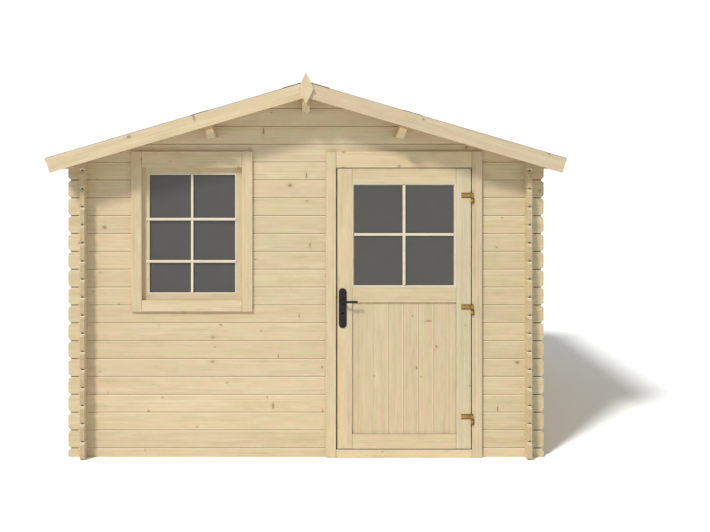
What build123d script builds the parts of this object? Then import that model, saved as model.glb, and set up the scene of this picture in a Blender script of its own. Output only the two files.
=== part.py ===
from build123d import *
import math
import os

# A small gable-roofed garden shed of interlocking logs, with a window and a half-glazed door.
# Millimetres. +Z is up, the front wall faces -Y, and the origin is on the ground at the centre.

# Log walls
SHED_WIDTH = 2800.0
SHED_DEPTH = 2800.0
LOG_PITCH = 112.0
LOG_THICKNESS = 28.0
LOG_OVERHANG = 90.0
LOG_END_BEVEL = 17.0
LOG_V_JOINT = 4.0
SEAM_GAP = 0.3
TONGUE_WIDTH = 12.0
TONGUE_HEIGHT = 8.0
GROOVE_CLEARANCE = 0.5
NOTCH_CLEARANCE = 0.4
SIDE_COURSES = 17

# Roof
ROOF_SLOPE = 16.35
EAVE_OVERHANG = 175.0
GABLE_OVERHANG = 250.0
DECK_THICKNESS = 18.0
FELT_THICKNESS = 3.0
FELT_DRIP = 22.0
FASCIA_HEIGHT = 90.0
FASCIA_THICKNESS = 18.0
EAVE_BOARD_HEIGHT = 70.0
EAVE_BOARD_THICKNESS = 18.0
PURLIN_WIDTH = 45.0
PURLIN_DEPTH = 145.0
RIDGE_PURLIN_DEPTH = 160.0
PURLIN_OFFSET = 640.0
PURLIN_UNDERCUT = 32.0
FINIAL_WIDTH = 92.0
FINIAL_THICKNESS = 18.0
FINIAL_RISE = 58.0
FINIAL_SHOULDER = 99.0
FINIAL_HEIGHT = 186.0
FINIAL_FOOT = 8.0

# Frames of the door and the window, grooved to slide over the log ends
OPENING_COURSES = 16
WINDOW_SILL_COURSES = 8
FRAME_FACE = 65.0
FRAME_WEB = 32.0
FRAME_PROUD = 20.0
FRAME_EASE = 2.0
SETTLING_GAP = 5.0
LOG_END_GAP = 1.5
CASING_TOP = 67.0
HEAD_DROP = 34.0
WINDOW_CENTRE = -714.0
WINDOW_CLEAR_WIDTH = 628.0
WINDOW_APRON = 38.0
WINDOW_FRAME_DEPTH = 80.0
SASH_SETBACK = 38.0
SASH_THICKNESS = 30.0
SASH_WIDTH = 44.0
SASH_STOP = 10.0
DOOR_CENTRE = 612.5
DOOR_CLEAR_WIDTH = 849.0
DOOR_FRAME_DEPTH = 72.0
DOOR_STOP = 15.0
SILL_HEIGHT = 51.0

# Door leaf
LEAF_THICKNESS = 42.0
LATCH_GAP = 8.0
HINGE_GAP = 6.5
LEAF_TOP_GAP = 5.2
LEAF_FOOT_GAP = 5.5
LEAF_STOP_GAP = 5.2
STILE_WIDTH = 92.0
MID_RAIL_HEIGHT = 93.0
MID_RAIL_FOOT = 971.0
REBATE = 10.0
PANEL_THICKNESS = 14.0
PANEL_SETBACK = 12.0
PANEL_PITCH = 95.0
PANEL_FIRST_JOINT = 36.0
PANEL_V = 3.0
GLASS_THICKNESS = 4.0
GLASS_SETBACK = 17.0
WINDOW_GLASS_SETBACK = 12.0
PIECE_GAP = 0.3

# Hinges, lock and lever
HINGE_LEVELS = (241.0, 926.5, 1624.0)
STRAP_LENGTH = 60.0
STRAP_HEIGHT = 33.0
HINGE_PLATE = 2.5
HINGE_PLATE_REACH = 16.0
KNUCKLE_RADIUS = 7.0
PIN_RADIUS = 4.0
PIN_CLEARANCE = 0.3
KNUCKLE_GAP = 0.6
KNUCKLE_SIDES = 12
LOCK_CENTRE_BACKSET = 33.0
LOCK_PLATE_HEIGHT = 248.0
LOCK_PLATE_WIDTH = 48.0
LOCK_PLATE_THICKNESS = 6.0
LOCK_PLATE_CENTRE = 936.0
INNER_PLATE_HEIGHT = 220.0
INNER_PLATE_WIDTH = 34.0
INNER_PLATE_THICKNESS = 4.0
LEVER_LEVEL = 981.0
KEYHOLE_LEVEL = 904.0
KEYHOLE_RADIUS = 7.0
KEYHOLE_SIDES = 12
KEY_MORTISE = 16.0
SPINDLE = 8.0
SPINDLE_CLEARANCE = 1.5
SPINDLE_HOLE_SIDES = 8
NECK_RADIUS = 9.5
LEVER_STANDOFF = 58.0
LEVER_REACH = 92.0
LEVER_THICKNESS = 12.0
LEVER_HEEL_RADIUS = 9.5
LEVER_TIP_RADIUS = 6.0

# Places worked out from the sizes above
HALF_WIDTH = SHED_WIDTH / 2
HALF_DEPTH = SHED_DEPTH / 2
WALL_HEIGHT = SIDE_COURSES * LOG_PITCH
SIN_SLOPE = math.sin(math.radians(ROOF_SLOPE))
COS_SLOPE = math.cos(math.radians(ROOF_SLOPE))
APEX = WALL_HEIGHT + HALF_WIDTH * SIN_SLOPE / COS_SLOPE
ROOF_RUN = (HALF_WIDTH + EAVE_OVERHANG - DECK_THICKNESS * SIN_SLOPE) / COS_SLOPE
FASCIA_FACE = HALF_DEPTH + GABLE_OVERHANG
DECK_END = FASCIA_FACE - FASCIA_THICKNESS
WALL_INSIDE = HALF_DEPTH - LOG_THICKNESS
GROOVE_WALL = NOTCH_CLEARANCE / 2

OPENING_TOP = (OPENING_COURSES + 0.5) * LOG_PITCH
HEAD_LEVEL = OPENING_TOP - HEAD_DROP
FRAME_TOP = OPENING_TOP + CASING_TOP
FRAME_FRONT = -HALF_DEPTH - FRAME_PROUD
WINDOW_SILL = (WINDOW_SILL_COURSES + 0.5) * LOG_PITCH
WINDOW_LEVEL = WINDOW_SILL + FRAME_WEB
WINDOW_FOOT = WINDOW_SILL - WINDOW_APRON
WINDOW_LEFT = WINDOW_CENTRE - WINDOW_CLEAR_WIDTH / 2
WINDOW_RIGHT = WINDOW_CENTRE + WINDOW_CLEAR_WIDTH / 2
DOOR_LEFT = DOOR_CENTRE - DOOR_CLEAR_WIDTH / 2
DOOR_RIGHT = DOOR_CENTRE + DOOR_CLEAR_WIDTH / 2
SASH_FRONT = FRAME_FRONT + SASH_SETBACK
SASH_BACK = SASH_FRONT + SASH_THICKNESS
WINDOW_GLASS_FRONT = SASH_FRONT + WINDOW_GLASS_SETBACK

LEAF_LEFT = DOOR_LEFT + LATCH_GAP
LEAF_RIGHT = DOOR_RIGHT - HINGE_GAP
LEAF_TOP = HEAD_LEVEL - LEAF_TOP_GAP
LEAF_FOOT = SILL_HEIGHT + LEAF_FOOT_GAP
LEAF_FRONT = FRAME_FRONT
LEAF_BACK = LEAF_FRONT + LEAF_THICKNESS
GLAZING_FRONT = LEAF_FRONT + GLASS_SETBACK
PANEL_FRONT = LEAF_FRONT + PANEL_SETBACK
HINGE_X = LEAF_RIGHT + HINGE_GAP
HINGE_Y = LEAF_FRONT - KNUCKLE_RADIUS - KNUCKLE_GAP
LOCK_X = LEAF_LEFT + LOCK_CENTRE_BACKSET

NOWHERE = 4000.0
SIDES = (-1, 1)


def underside(x, clearance=0.0):
    """Height of the roof deck's underside at x."""
    return APEX - abs(x) * SIN_SLOPE / COS_SLOPE - clearance


def slope_point(run, rise, side=1):
    """A point `run` down one slope from the ridge and `rise` above the deck's underside."""
    return (side * (run * COS_SLOPE + rise * SIN_SLOPE), APEX - run * SIN_SLOPE + rise * COS_SLOPE)


def slope_band(low, high, run, side, ridge_gap=PIECE_GAP):
    """Outline of a layer on one slope, cut upright at the ridge and square at the eave."""
    ridge_x = side * ridge_gap / 2
    ridge = [(ridge_x, underside(ridge_x) + rise / COS_SLOPE) for rise in (low, high)]
    return [ridge[0], slope_point(run, low, side), slope_point(run, high, side), ridge[1]]


def purlin_outline(side, clearance=0.0):
    """Section of a side purlin, which stands square to the slope under the deck."""
    half = PURLIN_WIDTH / 2 + clearance
    foot = -PURLIN_DEPTH - clearance
    top = 2 * clearance - PIECE_GAP
    corners = ((-half, top), (half, top), (half, foot), (-half, foot))
    return [slope_point(PURLIN_OFFSET + along, rise, side) for along, rise in corners]


def ridge_purlin_outline(clearance=0.0):
    """Section of the ridge purlin, with its top planed to both slopes."""
    half = PURLIN_WIDTH / 2 + clearance
    foot = APEX - RIDGE_PURLIN_DEPTH - clearance
    gap = PIECE_GAP - 2 * clearance
    top = underside(half, gap)
    return [(-half, foot), (half, foot), (half, top), (0, APEX - gap), (-half, top)]


def log_section(wall, low, top, jointed, grooved, grounded, planed, crowning):
    """Outline of a log across its length, in a wall whose outer face is `wall` from the centre.

    The outer edges are chamfered to a V-joint. A grooved length has the groove underneath, and a
    jointed length also has the pointed tongue above. A grounded log is flat underneath, a planed
    one follows the roof and a crowning one is left square, to be cut by the roof.
    """
    outer = -wall
    inner = outer + LOG_THICKNESS
    middle = outer + LOG_THICKNESS / 2
    tongue = TONGUE_WIDTH / 2
    groove = tongue + GROOVE_CLEARANCE
    if grounded:
        points = [(outer, low), (inner, low)]
    else:
        points = [(outer, low + LOG_V_JOINT), (outer + LOG_V_JOINT, low)]
        if grooved:
            roof = low + TONGUE_HEIGHT + GROOVE_CLEARANCE
            points += [(middle - groove, low), (middle, roof), (middle + groove, low)]
        points += [(inner, low)]
    if planed:
        points += [(inner, underside(inner, SEAM_GAP)), (outer, underside(outer, SEAM_GAP))]
    elif crowning:
        points += [(inner, top), (outer, top)]
    else:
        points += [(inner, top)]
        if jointed:
            points += [(middle + tongue, top), (middle, top + TONGUE_HEIGHT), (middle - tongue, top)]
        points += [(outer + LOG_V_JOINT, top), (outer, top - LOG_V_JOINT)]
    return points


def end_bevels(tip, base, top):
    """The four-sided cuts that bevel a log's projecting end above and below."""
    inward = -math.copysign(LOG_END_BEVEL, tip)
    past = -inward
    over = TONGUE_HEIGHT + LOG_END_BEVEL
    upper = [(tip + inward, top), (tip, top - LOG_END_BEVEL), (tip + past, top - LOG_END_BEVEL),
             (tip + past, top + over), (tip + inward, top + over)]
    lower = [(tip + inward, base), (tip, base + LOG_END_BEVEL), (tip + past, base + LOG_END_BEVEL),
             (tip + past, base - over), (tip + inward, base - over)]
    return [upper, lower]


def make_log(base, start, end, wall, crossing, open_ended=False, grounded=False, planed=False,
             under_roof=False, crowning=False, bare_top=None):
    """One log as it lies in the front wall: its section run from start to end, cut to its outline.

    The tongue runs between the notches for the crossing walls. The groove runs with it, and in an
    open-ended log also out through the ends that stand past them, where the bevels lay it open.
    """
    low = max(base, 0.0)
    top = APEX if crowning else base + LOG_PITCH - SEAM_GAP
    first, last = max(start, -crossing), min(end, crossing)
    notch_width = LOG_THICKNESS + 2 * NOTCH_CLEARANCE
    notch_height = LOG_PITCH / 2 + SEAM_GAP
    with BuildPart() as log:
        for left, right, jointed in ((start, first, False), (first, last, True), (last, end, False)):
            if right > left:
                with BuildSketch(Plane.YZ.offset(left)):
                    grooved = jointed or open_ended
                    Polygon(*log_section(wall, low, top, jointed, grooved, grounded, planed, crowning),
                            align=None)
                extrude(amount=right - left)
        with BuildSketch(Plane.XZ):
            with Locations(((start + end) / 2, low + LOG_PITCH)):
                Rectangle(end - start, 2 * LOG_PITCH)
            for place in (-crossing, crossing):
                if start < place < end:
                    with Locations((place, base), (place, base + LOG_PITCH)):
                        Rectangle(notch_width, notch_height, mode=Mode.SUBTRACT)
            for tip in (start, end):
                if abs(tip) > crossing:
                    for cut in end_bevels(tip, base, top):
                        Polygon(*cut, align=None, mode=Mode.SUBTRACT)
            if bare_top:
                with Locations((sum(bare_top) / 2, top + TONGUE_HEIGHT)):
                    Rectangle(bare_top[1] - bare_top[0], 2 * TONGUE_HEIGHT, mode=Mode.SUBTRACT)
            if under_roof:
                roof = [(-NOWHERE, 0), (NOWHERE, 0), (NOWHERE, underside(NOWHERE, SEAM_GAP)),
                        (0, underside(0, SEAM_GAP)), (-NOWHERE, underside(NOWHERE, SEAM_GAP))]
                Polygon(*roof, align=None, mode=Mode.INTERSECT)
                Polygon(*ridge_purlin_outline(NOTCH_CLEARANCE), align=None, mode=Mode.SUBTRACT)
                for side in SIDES:
                    Polygon(*purlin_outline(side, NOTCH_CLEARANCE), align=None, mode=Mode.SUBTRACT)
        extrude(amount=NOWHERE, both=True, mode=Mode.INTERSECT)
    return log.part


def front_log(base, start, end, **options):
    """A log of the front wall, between two places across the shed."""
    return make_log(base, start, end, HALF_DEPTH, HALF_WIDTH - LOG_THICKNESS / 2, **options)


def side_log(base, **options):
    """A log of the left wall, from end to end of the shed: one like the front wall's, turned."""
    reach = HALF_DEPTH + LOG_OVERHANG
    turned = make_log(base, -reach, reach, HALF_WIDTH, HALF_DEPTH - LOG_THICKNESS / 2, open_ended=True,
                      **options)
    return turned.rotate(Axis.Z, -90)


def course(number):
    """Height at which a course of the front or back wall starts; these walls start on a half log."""
    return (number - 0.5) * LOG_PITCH


def stacked(log, first, last):
    """A log and its copies, one for each course from first to last."""
    with BuildPart() as stack:
        with Locations(*[(0, 0, (number - first) * LOG_PITCH) for number in range(first, last + 1)]):
            add(log)
    return stack.part


os.makedirs("parts", exist_ok=True)
pieces = []


def keep(builder, name):
    """Labels a finished piece and puts it on the list of pieces to write."""
    builder.part.label = name
    pieces.append(builder.part)


# Front wall: logs under the window, beside it, between it and the door, and beside the door
WALL_REACH = HALF_WIDTH + LOG_OVERHANG
WINDOW_CUT_LEFT = WINDOW_LEFT - FRAME_WEB - LOG_END_GAP
WINDOW_CUT_RIGHT = WINDOW_RIGHT + FRAME_WEB + LOG_END_GAP
DOOR_CUT_LEFT = DOOR_LEFT - FRAME_WEB - LOG_END_GAP
DOOR_CUT_RIGHT = DOOR_RIGHT + FRAME_WEB + LOG_END_GAP

with BuildPart() as front_wall_under_window:
    add(front_log(course(0), -WALL_REACH, DOOR_CUT_LEFT, grounded=True))
    add(stacked(front_log(course(1), -WALL_REACH, DOOR_CUT_LEFT), 1, WINDOW_SILL_COURSES - 1))
    add(front_log(course(WINDOW_SILL_COURSES), -WALL_REACH, DOOR_CUT_LEFT,
                  bare_top=(WINDOW_CUT_LEFT, WINDOW_CUT_RIGHT)))
keep(front_wall_under_window, "front_wall_under_window")

with BuildPart() as front_wall_left:
    add(stacked(front_log(course(WINDOW_SILL_COURSES + 1), -WALL_REACH, WINDOW_CUT_LEFT),
                WINDOW_SILL_COURSES + 1, OPENING_COURSES))
keep(front_wall_left, "front_wall_left")

with BuildPart() as front_wall_middle:
    add(stacked(front_log(course(WINDOW_SILL_COURSES + 1), WINDOW_CUT_RIGHT, DOOR_CUT_LEFT),
                WINDOW_SILL_COURSES + 1, OPENING_COURSES))
keep(front_wall_middle, "front_wall_middle")

with BuildPart() as front_wall_right:
    add(front_log(course(0), DOOR_CUT_RIGHT, WALL_REACH, grounded=True))
    add(stacked(front_log(course(1), DOOR_CUT_RIGHT, WALL_REACH), 1, OPENING_COURSES))
keep(front_wall_right, "front_wall_right")

# Gables: logs cut to the slope of the roof and notched for the purlins
FIRST_GABLE = OPENING_COURSES + 1
LAST_GABLE = FIRST_GABLE + max(1, round((APEX - course(FIRST_GABLE)) / LOG_PITCH)) - 1
with BuildPart() as front_gable:
    for number in range(FIRST_GABLE, LAST_GABLE + 1):
        topmost = number == LAST_GABLE
        add(front_log(course(number), -WALL_REACH, WALL_REACH, under_roof=True, crowning=topmost))
keep(front_gable, "front_gable")

with BuildPart() as back_gable:
    mirror(front_gable.part, about=Plane.XZ)
keep(back_gable, "back_gable")

with BuildPart() as back_wall:
    back_base = front_log(course(0), -WALL_REACH, WALL_REACH, grounded=True)
    back_stack = stacked(front_log(course(1), -WALL_REACH, WALL_REACH), 1, OPENING_COURSES)
    mirror(back_base, about=Plane.XZ)
    mirror(back_stack, about=Plane.XZ)
keep(back_wall, "back_wall")

# Side walls, with the top log planed to the slope of the roof
with BuildPart() as left_wall:
    add(side_log(0, grounded=True))
    add(stacked(side_log(LOG_PITCH), 1, SIDE_COURSES - 2))
    add(side_log((SIDE_COURSES - 1) * LOG_PITCH, planed=True))
keep(left_wall, "left_wall")

with BuildPart() as right_wall:
    mirror(left_wall.part, about=Plane.YZ)
keep(right_wall, "right_wall")

# Purlins from barge board to barge board, undercut at both ends
for name, outline in (("ridge_purlin", ridge_purlin_outline()), ("left_purlin", purlin_outline(-1)),
                      ("right_purlin", purlin_outline(1))):
    with BuildPart() as purlin:
        with BuildSketch(Plane.XZ):
            Polygon(*outline, align=None)
        extrude(amount=DECK_END - PIECE_GAP, both=True)
        tips = purlin.edges().group_by(Axis.Y)
        chamfer([tips[0].sort_by(Axis.Z)[0], tips[-1].sort_by(Axis.Z)[0]], length=PURLIN_UNDERCUT)
    keep(purlin, name)

# Roof: deck, eave boards, felt turned down over them, barge boards and the boards at their joint
DECK_RUN = ROOF_RUN - EAVE_BOARD_THICKNESS - PIECE_GAP
for side, hand in zip(SIDES, ("left", "right")):
    with BuildPart() as deck:
        with BuildSketch(Plane.XZ):
            Polygon(*slope_band(0, DECK_THICKNESS, DECK_RUN, side), align=None)
        extrude(amount=DECK_END - PIECE_GAP, both=True)
    keep(deck, f"roof_deck_{hand}")

    with BuildPart() as eave_board:
        eave_corners = ((ROOF_RUN - EAVE_BOARD_THICKNESS, DECK_THICKNESS), (ROOF_RUN, DECK_THICKNESS),
                        (ROOF_RUN, DECK_THICKNESS - EAVE_BOARD_HEIGHT),
                        (ROOF_RUN - EAVE_BOARD_THICKNESS, DECK_THICKNESS - EAVE_BOARD_HEIGHT))
        with BuildSketch(Plane.XZ):
            Polygon(*[slope_point(run, rise, side) for run, rise in eave_corners], align=None)
        extrude(amount=DECK_END - PIECE_GAP, both=True)
    keep(eave_board, f"{hand}_eave_board")

    with BuildPart() as felt:
        felt_low = DECK_THICKNESS + PIECE_GAP
        felt_top = felt_low + FELT_THICKNESS
        felt_run = ROOF_RUN + PIECE_GAP
        ridge_points = [(side * PIECE_GAP / 2, underside(PIECE_GAP / 2) + rise / COS_SLOPE)
                        for rise in (felt_top, felt_low)]
        drip_edge = felt_run + FELT_THICKNESS
        eave_points = [(felt_run, felt_low), (felt_run, felt_low - FELT_DRIP),
                       (drip_edge, felt_low - FELT_DRIP), (drip_edge, felt_top)]
        with BuildSketch(Plane.XZ):
            Polygon(*ridge_points, *[slope_point(run, rise, side) for run, rise in eave_points], align=None)
        extrude(amount=FASCIA_FACE, both=True)
    keep(felt, f"roofing_felt_{hand}")

    for facing, front in ((-1, "front"), (1, "back")):
        board_plane = Plane.XZ.offset(-facing * DECK_END)
        with BuildPart() as fascia:
            with BuildSketch(board_plane):
                board = slope_band(DECK_THICKNESS - FASCIA_HEIGHT, DECK_THICKNESS, ROOF_RUN, side)
                Polygon(*board, align=None)
            extrude(amount=-facing * FASCIA_THICKNESS)
        keep(fascia, f"{front}_fascia_{hand}")

FASCIA_APEX = APEX + DECK_THICKNESS / COS_SLOPE
FINIAL_TIP = FASCIA_APEX + FINIAL_RISE
for facing, front in ((-1, "front"), (1, "back")):
    with BuildPart() as finial:
        with BuildSketch(Plane.XZ.offset(-facing * (FASCIA_FACE + PIECE_GAP))):
            with BuildLine():
                Polyline((0, FINIAL_TIP), (FINIAL_WIDTH / 2, FINIAL_TIP - FINIAL_SHOULDER),
                         (FINIAL_FOOT / 2, FINIAL_TIP - FINIAL_HEIGHT),
                         (-FINIAL_FOOT / 2, FINIAL_TIP - FINIAL_HEIGHT),
                         (-FINIAL_WIDTH / 2, FINIAL_TIP - FINIAL_SHOULDER), close=True)
            make_face()
        extrude(amount=-facing * FINIAL_THICKNESS)
    keep(finial, f"{front}_finial")


def frame_member(corner, along, towards, length, face, stop, stop_front, depth):
    """A frame timber: a groove for the log ends behind its face, and a stop for the leaf or sash."""
    back = FRAME_FRONT + depth
    outline = [
        (0, FRAME_FRONT + FRAME_EASE), (FRAME_EASE, FRAME_FRONT), (face - FRAME_EASE, FRAME_FRONT),
        (face, FRAME_FRONT + FRAME_EASE), (face, stop_front), (face + stop, stop_front),
        (face + stop, back), (0, back), (0, -WALL_INSIDE + GROOVE_WALL),
        (face - FRAME_WEB, -WALL_INSIDE + GROOVE_WALL), (face - FRAME_WEB, -HALF_DEPTH - GROOVE_WALL),
        (0, -HALF_DEPTH - GROOVE_WALL),
    ]
    with BuildPart() as member:
        with BuildSketch(Plane(origin=corner, x_dir=towards, z_dir=along)):
            Polygon(*outline, align=None)
        extrude(amount=length)
    return member.part


def clear_block(low, high, mode=Mode.SUBTRACT):
    """Takes away, or adds, the upright block between two corners."""
    sizes = [b - a for a, b in zip(low, high)]
    with Locations(tuple((a + b) / 2 for a, b in zip(low, high))):
        Box(*sizes, mode=mode)


def side_frame(x_outer, side, foot, web_foot, stop, stop_front, depth, stop_top, stop_foot):
    """An upright frame timber; its web and stop are cut back where the logs and the head run."""
    height = FRAME_TOP - foot
    corner = (x_outer, 0, foot) if side < 0 else (x_outer, 0, FRAME_TOP)
    along = (0, 0, 1) if side < 0 else (0, 0, -1)
    clear = x_outer - side * FRAME_FACE
    inside = x_outer - side * (FRAME_FACE + stop)
    back = FRAME_FRONT + depth
    with BuildPart() as upright:
        add(frame_member(corner, along, (-side, 0, 0), height, FRAME_FACE, stop, stop_front, depth))
        left, right = sorted((x_outer, clear))
        for low, high in ((OPENING_TOP - SETTLING_GAP, FRAME_TOP), (foot, web_foot)):
            if high > low:
                clear_block((left, -HALF_DEPTH - GROOVE_WALL, low), (right, -WALL_INSIDE + GROOVE_WALL, high))
        left, right = sorted((clear, inside))
        for low, high in ((stop_top, FRAME_TOP), (foot, stop_foot)):
            if high > low:
                clear_block((left, stop_front, low), (right, back, high))
    return upright


# Door frame and threshold
DOOR_STOP_FRONT = LEAF_BACK + LEAF_STOP_GAP
DOOR_FRAME_BACK = FRAME_FRONT + DOOR_FRAME_DEPTH
for side, hand, x_clear in ((-1, "left", DOOR_LEFT), (1, "right", DOOR_RIGHT)):
    jamb = side_frame(x_clear + side * FRAME_FACE, side, 0, 0, DOOR_STOP, DOOR_STOP_FRONT, DOOR_FRAME_DEPTH,
                      HEAD_LEVEL - DOOR_STOP - PIECE_GAP, SILL_HEIGHT + DOOR_STOP + PIECE_GAP)
    keep(jamb, f"door_frame_{hand}")


def head_timber(clear_left, clear_right, stop, stop_front, depth):
    """The timber over an opening; its web stops short of the log above, to let the wall settle."""
    back = FRAME_FRONT + depth
    left = clear_left + PIECE_GAP
    right = clear_right - PIECE_GAP
    web_top = OPENING_TOP - SETTLING_GAP
    outline = [
        (FRAME_FRONT, HEAD_LEVEL), (stop_front, HEAD_LEVEL), (stop_front, HEAD_LEVEL - stop),
        (back, HEAD_LEVEL - stop), (back, FRAME_TOP), (-WALL_INSIDE + GROOVE_WALL, FRAME_TOP),
        (-WALL_INSIDE + GROOVE_WALL, web_top), (-HALF_DEPTH - GROOVE_WALL, web_top),
        (-HALF_DEPTH - GROOVE_WALL, FRAME_TOP), (FRAME_FRONT, FRAME_TOP),
    ]
    with BuildPart() as head:
        with BuildSketch(Plane.YZ.offset(left)):
            Polygon(*outline, align=None)
        extrude(amount=right - left)
    return head


door_frame_head = head_timber(DOOR_LEFT, DOOR_RIGHT, DOOR_STOP, DOOR_STOP_FRONT, DOOR_FRAME_DEPTH)
keep(door_frame_head, "door_frame_head")

with BuildPart() as door_sill:
    with BuildSketch(Plane.YZ.offset(DOOR_LEFT + PIECE_GAP)):
        Polygon((FRAME_FRONT, 0), (FRAME_FRONT, SILL_HEIGHT), (DOOR_STOP_FRONT, SILL_HEIGHT),
                (DOOR_STOP_FRONT, SILL_HEIGHT + DOOR_STOP), (DOOR_FRAME_BACK, SILL_HEIGHT + DOOR_STOP),
                (DOOR_FRAME_BACK, 0), align=None)
    extrude(amount=DOOR_CLEAR_WIDTH - 2 * PIECE_GAP)
keep(door_sill, "door_sill")

# Window frame, sash and glass
SASH_STOP_FRONT = SASH_BACK + PIECE_GAP
for side, hand, x_clear in ((-1, "left", WINDOW_LEFT), (1, "right", WINDOW_RIGHT)):
    jamb = side_frame(x_clear + side * FRAME_FACE, side, WINDOW_FOOT, WINDOW_SILL + PIECE_GAP, SASH_STOP,
                      SASH_STOP_FRONT, WINDOW_FRAME_DEPTH, HEAD_LEVEL - SASH_STOP - PIECE_GAP,
                      WINDOW_LEVEL + SASH_STOP + PIECE_GAP)
    keep(jamb, f"window_frame_{hand}")

window_frame_head = head_timber(WINDOW_LEFT, WINDOW_RIGHT, SASH_STOP, SASH_STOP_FRONT, WINDOW_FRAME_DEPTH)
keep(window_frame_head, "window_frame_head")

with BuildPart() as window_frame_sill:
    sill_back = FRAME_FRONT + WINDOW_FRAME_DEPTH
    with BuildSketch(Plane.YZ.offset(WINDOW_LEFT + PIECE_GAP)):
        Polygon((FRAME_FRONT, WINDOW_LEVEL), (SASH_STOP_FRONT, WINDOW_LEVEL),
                (SASH_STOP_FRONT, WINDOW_LEVEL + SASH_STOP), (sill_back, WINDOW_LEVEL + SASH_STOP),
                (sill_back, WINDOW_FOOT), (-WALL_INSIDE + GROOVE_WALL, WINDOW_FOOT),
                (-WALL_INSIDE + GROOVE_WALL, WINDOW_SILL + PIECE_GAP),
                (-HALF_DEPTH - GROOVE_WALL, WINDOW_SILL + PIECE_GAP),
                (-HALF_DEPTH - GROOVE_WALL, WINDOW_FOOT), (FRAME_FRONT, WINDOW_FOOT), align=None)
    extrude(amount=WINDOW_CLEAR_WIDTH - 2 * PIECE_GAP)
keep(window_frame_sill, "window_frame_sill")

SASH_LEFT = WINDOW_LEFT + PIECE_GAP
SASH_RIGHT = WINDOW_RIGHT - PIECE_GAP
SASH_TOP = HEAD_LEVEL - PIECE_GAP
SASH_FOOT = WINDOW_LEVEL + PIECE_GAP
LIGHT_LEFT = SASH_LEFT + SASH_WIDTH
LIGHT_RIGHT = SASH_RIGHT - SASH_WIDTH
LIGHT_TOP = SASH_TOP - SASH_WIDTH
LIGHT_FOOT = SASH_FOOT + SASH_WIDTH
GLASS_SLIP = REBATE - 1.0

with BuildPart() as window_sash:
    for left, right, foot, top in (
        (SASH_LEFT, LIGHT_LEFT, SASH_FOOT, SASH_TOP), (LIGHT_RIGHT, SASH_RIGHT, SASH_FOOT, SASH_TOP),
        (LIGHT_LEFT + PIECE_GAP, LIGHT_RIGHT - PIECE_GAP, SASH_FOOT, LIGHT_FOOT),
        (LIGHT_LEFT + PIECE_GAP, LIGHT_RIGHT - PIECE_GAP, LIGHT_TOP, SASH_TOP),
    ):
        clear_block((left, SASH_FRONT, foot), (right, SASH_BACK, top), Mode.ADD)
    clear_block((LIGHT_LEFT - REBATE, WINDOW_GLASS_FRONT - PIECE_GAP, LIGHT_FOOT - REBATE),
                (LIGHT_RIGHT + REBATE, WINDOW_GLASS_FRONT + GLASS_THICKNESS + PIECE_GAP, LIGHT_TOP + REBATE))
keep(window_sash, "window_sash")

with BuildPart() as window_glass:
    clear_block((LIGHT_LEFT - GLASS_SLIP, WINDOW_GLASS_FRONT, LIGHT_FOOT - GLASS_SLIP),
                (LIGHT_RIGHT + GLASS_SLIP, WINDOW_GLASS_FRONT + GLASS_THICKNESS, LIGHT_TOP + GLASS_SLIP),
                Mode.ADD)
keep(window_glass, "window_glass")

# Door leaf: stiles and rails, grooved for the glass above and the boarded panel below
MID_RAIL_TOP = MID_RAIL_FOOT + MID_RAIL_HEIGHT
PANE_LEFT = LEAF_LEFT + STILE_WIDTH
PANE_RIGHT = LEAF_RIGHT - STILE_WIDTH
PANE_TOP = LEAF_TOP - STILE_WIDTH
PANEL_FOOT = LEAF_FOOT + STILE_WIDTH
GLASS_GROOVE = (
    (PANE_LEFT - REBATE, GLAZING_FRONT - PIECE_GAP, MID_RAIL_TOP - REBATE),
    (PANE_RIGHT + REBATE, GLAZING_FRONT + GLASS_THICKNESS + PIECE_GAP, PANE_TOP + REBATE),
)
PANEL_GROOVE = (
    (PANE_LEFT - REBATE, PANEL_FRONT - PIECE_GAP, PANEL_FOOT - REBATE),
    (PANE_RIGHT + REBATE, PANEL_FRONT + PANEL_THICKNESS + PIECE_GAP, MID_RAIL_FOOT + REBATE),
)
SPINDLE_HOLE = SPINDLE / math.sqrt(2) + SPINDLE_CLEARANCE


def leaf_timber(left, right, foot, top, locked=False):
    """A stile or rail of the door leaf, with its grooves and, in the locked stile, its mortises."""
    with BuildPart() as timber:
        clear_block((left, LEAF_FRONT, foot), (right, LEAF_BACK, top), Mode.ADD)
        clear_block(*GLASS_GROOVE)
        clear_block(*PANEL_GROOVE)
        if locked:
            for level, half in ((LEVER_LEVEL, SPINDLE_HOLE), (KEYHOLE_LEVEL, KEY_MORTISE / 2)):
                clear_block((LOCK_X - half, LEAF_FRONT, level - half),
                            (LOCK_X + half, LEAF_BACK, level + half))
    return timber


RAIL_LEFT = PANE_LEFT + PIECE_GAP
RAIL_RIGHT = PANE_RIGHT - PIECE_GAP
keep(leaf_timber(LEAF_LEFT, PANE_LEFT, LEAF_FOOT, LEAF_TOP, locked=True), "door_left_stile")
keep(leaf_timber(PANE_RIGHT, LEAF_RIGHT, LEAF_FOOT, LEAF_TOP), "door_right_stile")
keep(leaf_timber(RAIL_LEFT, RAIL_RIGHT, PANE_TOP, LEAF_TOP), "door_top_rail")
keep(leaf_timber(RAIL_LEFT, RAIL_RIGHT, MID_RAIL_FOOT, MID_RAIL_TOP), "door_mid_rail")
keep(leaf_timber(RAIL_LEFT, RAIL_RIGHT, LEAF_FOOT, PANEL_FOOT), "door_bottom_rail")

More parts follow.
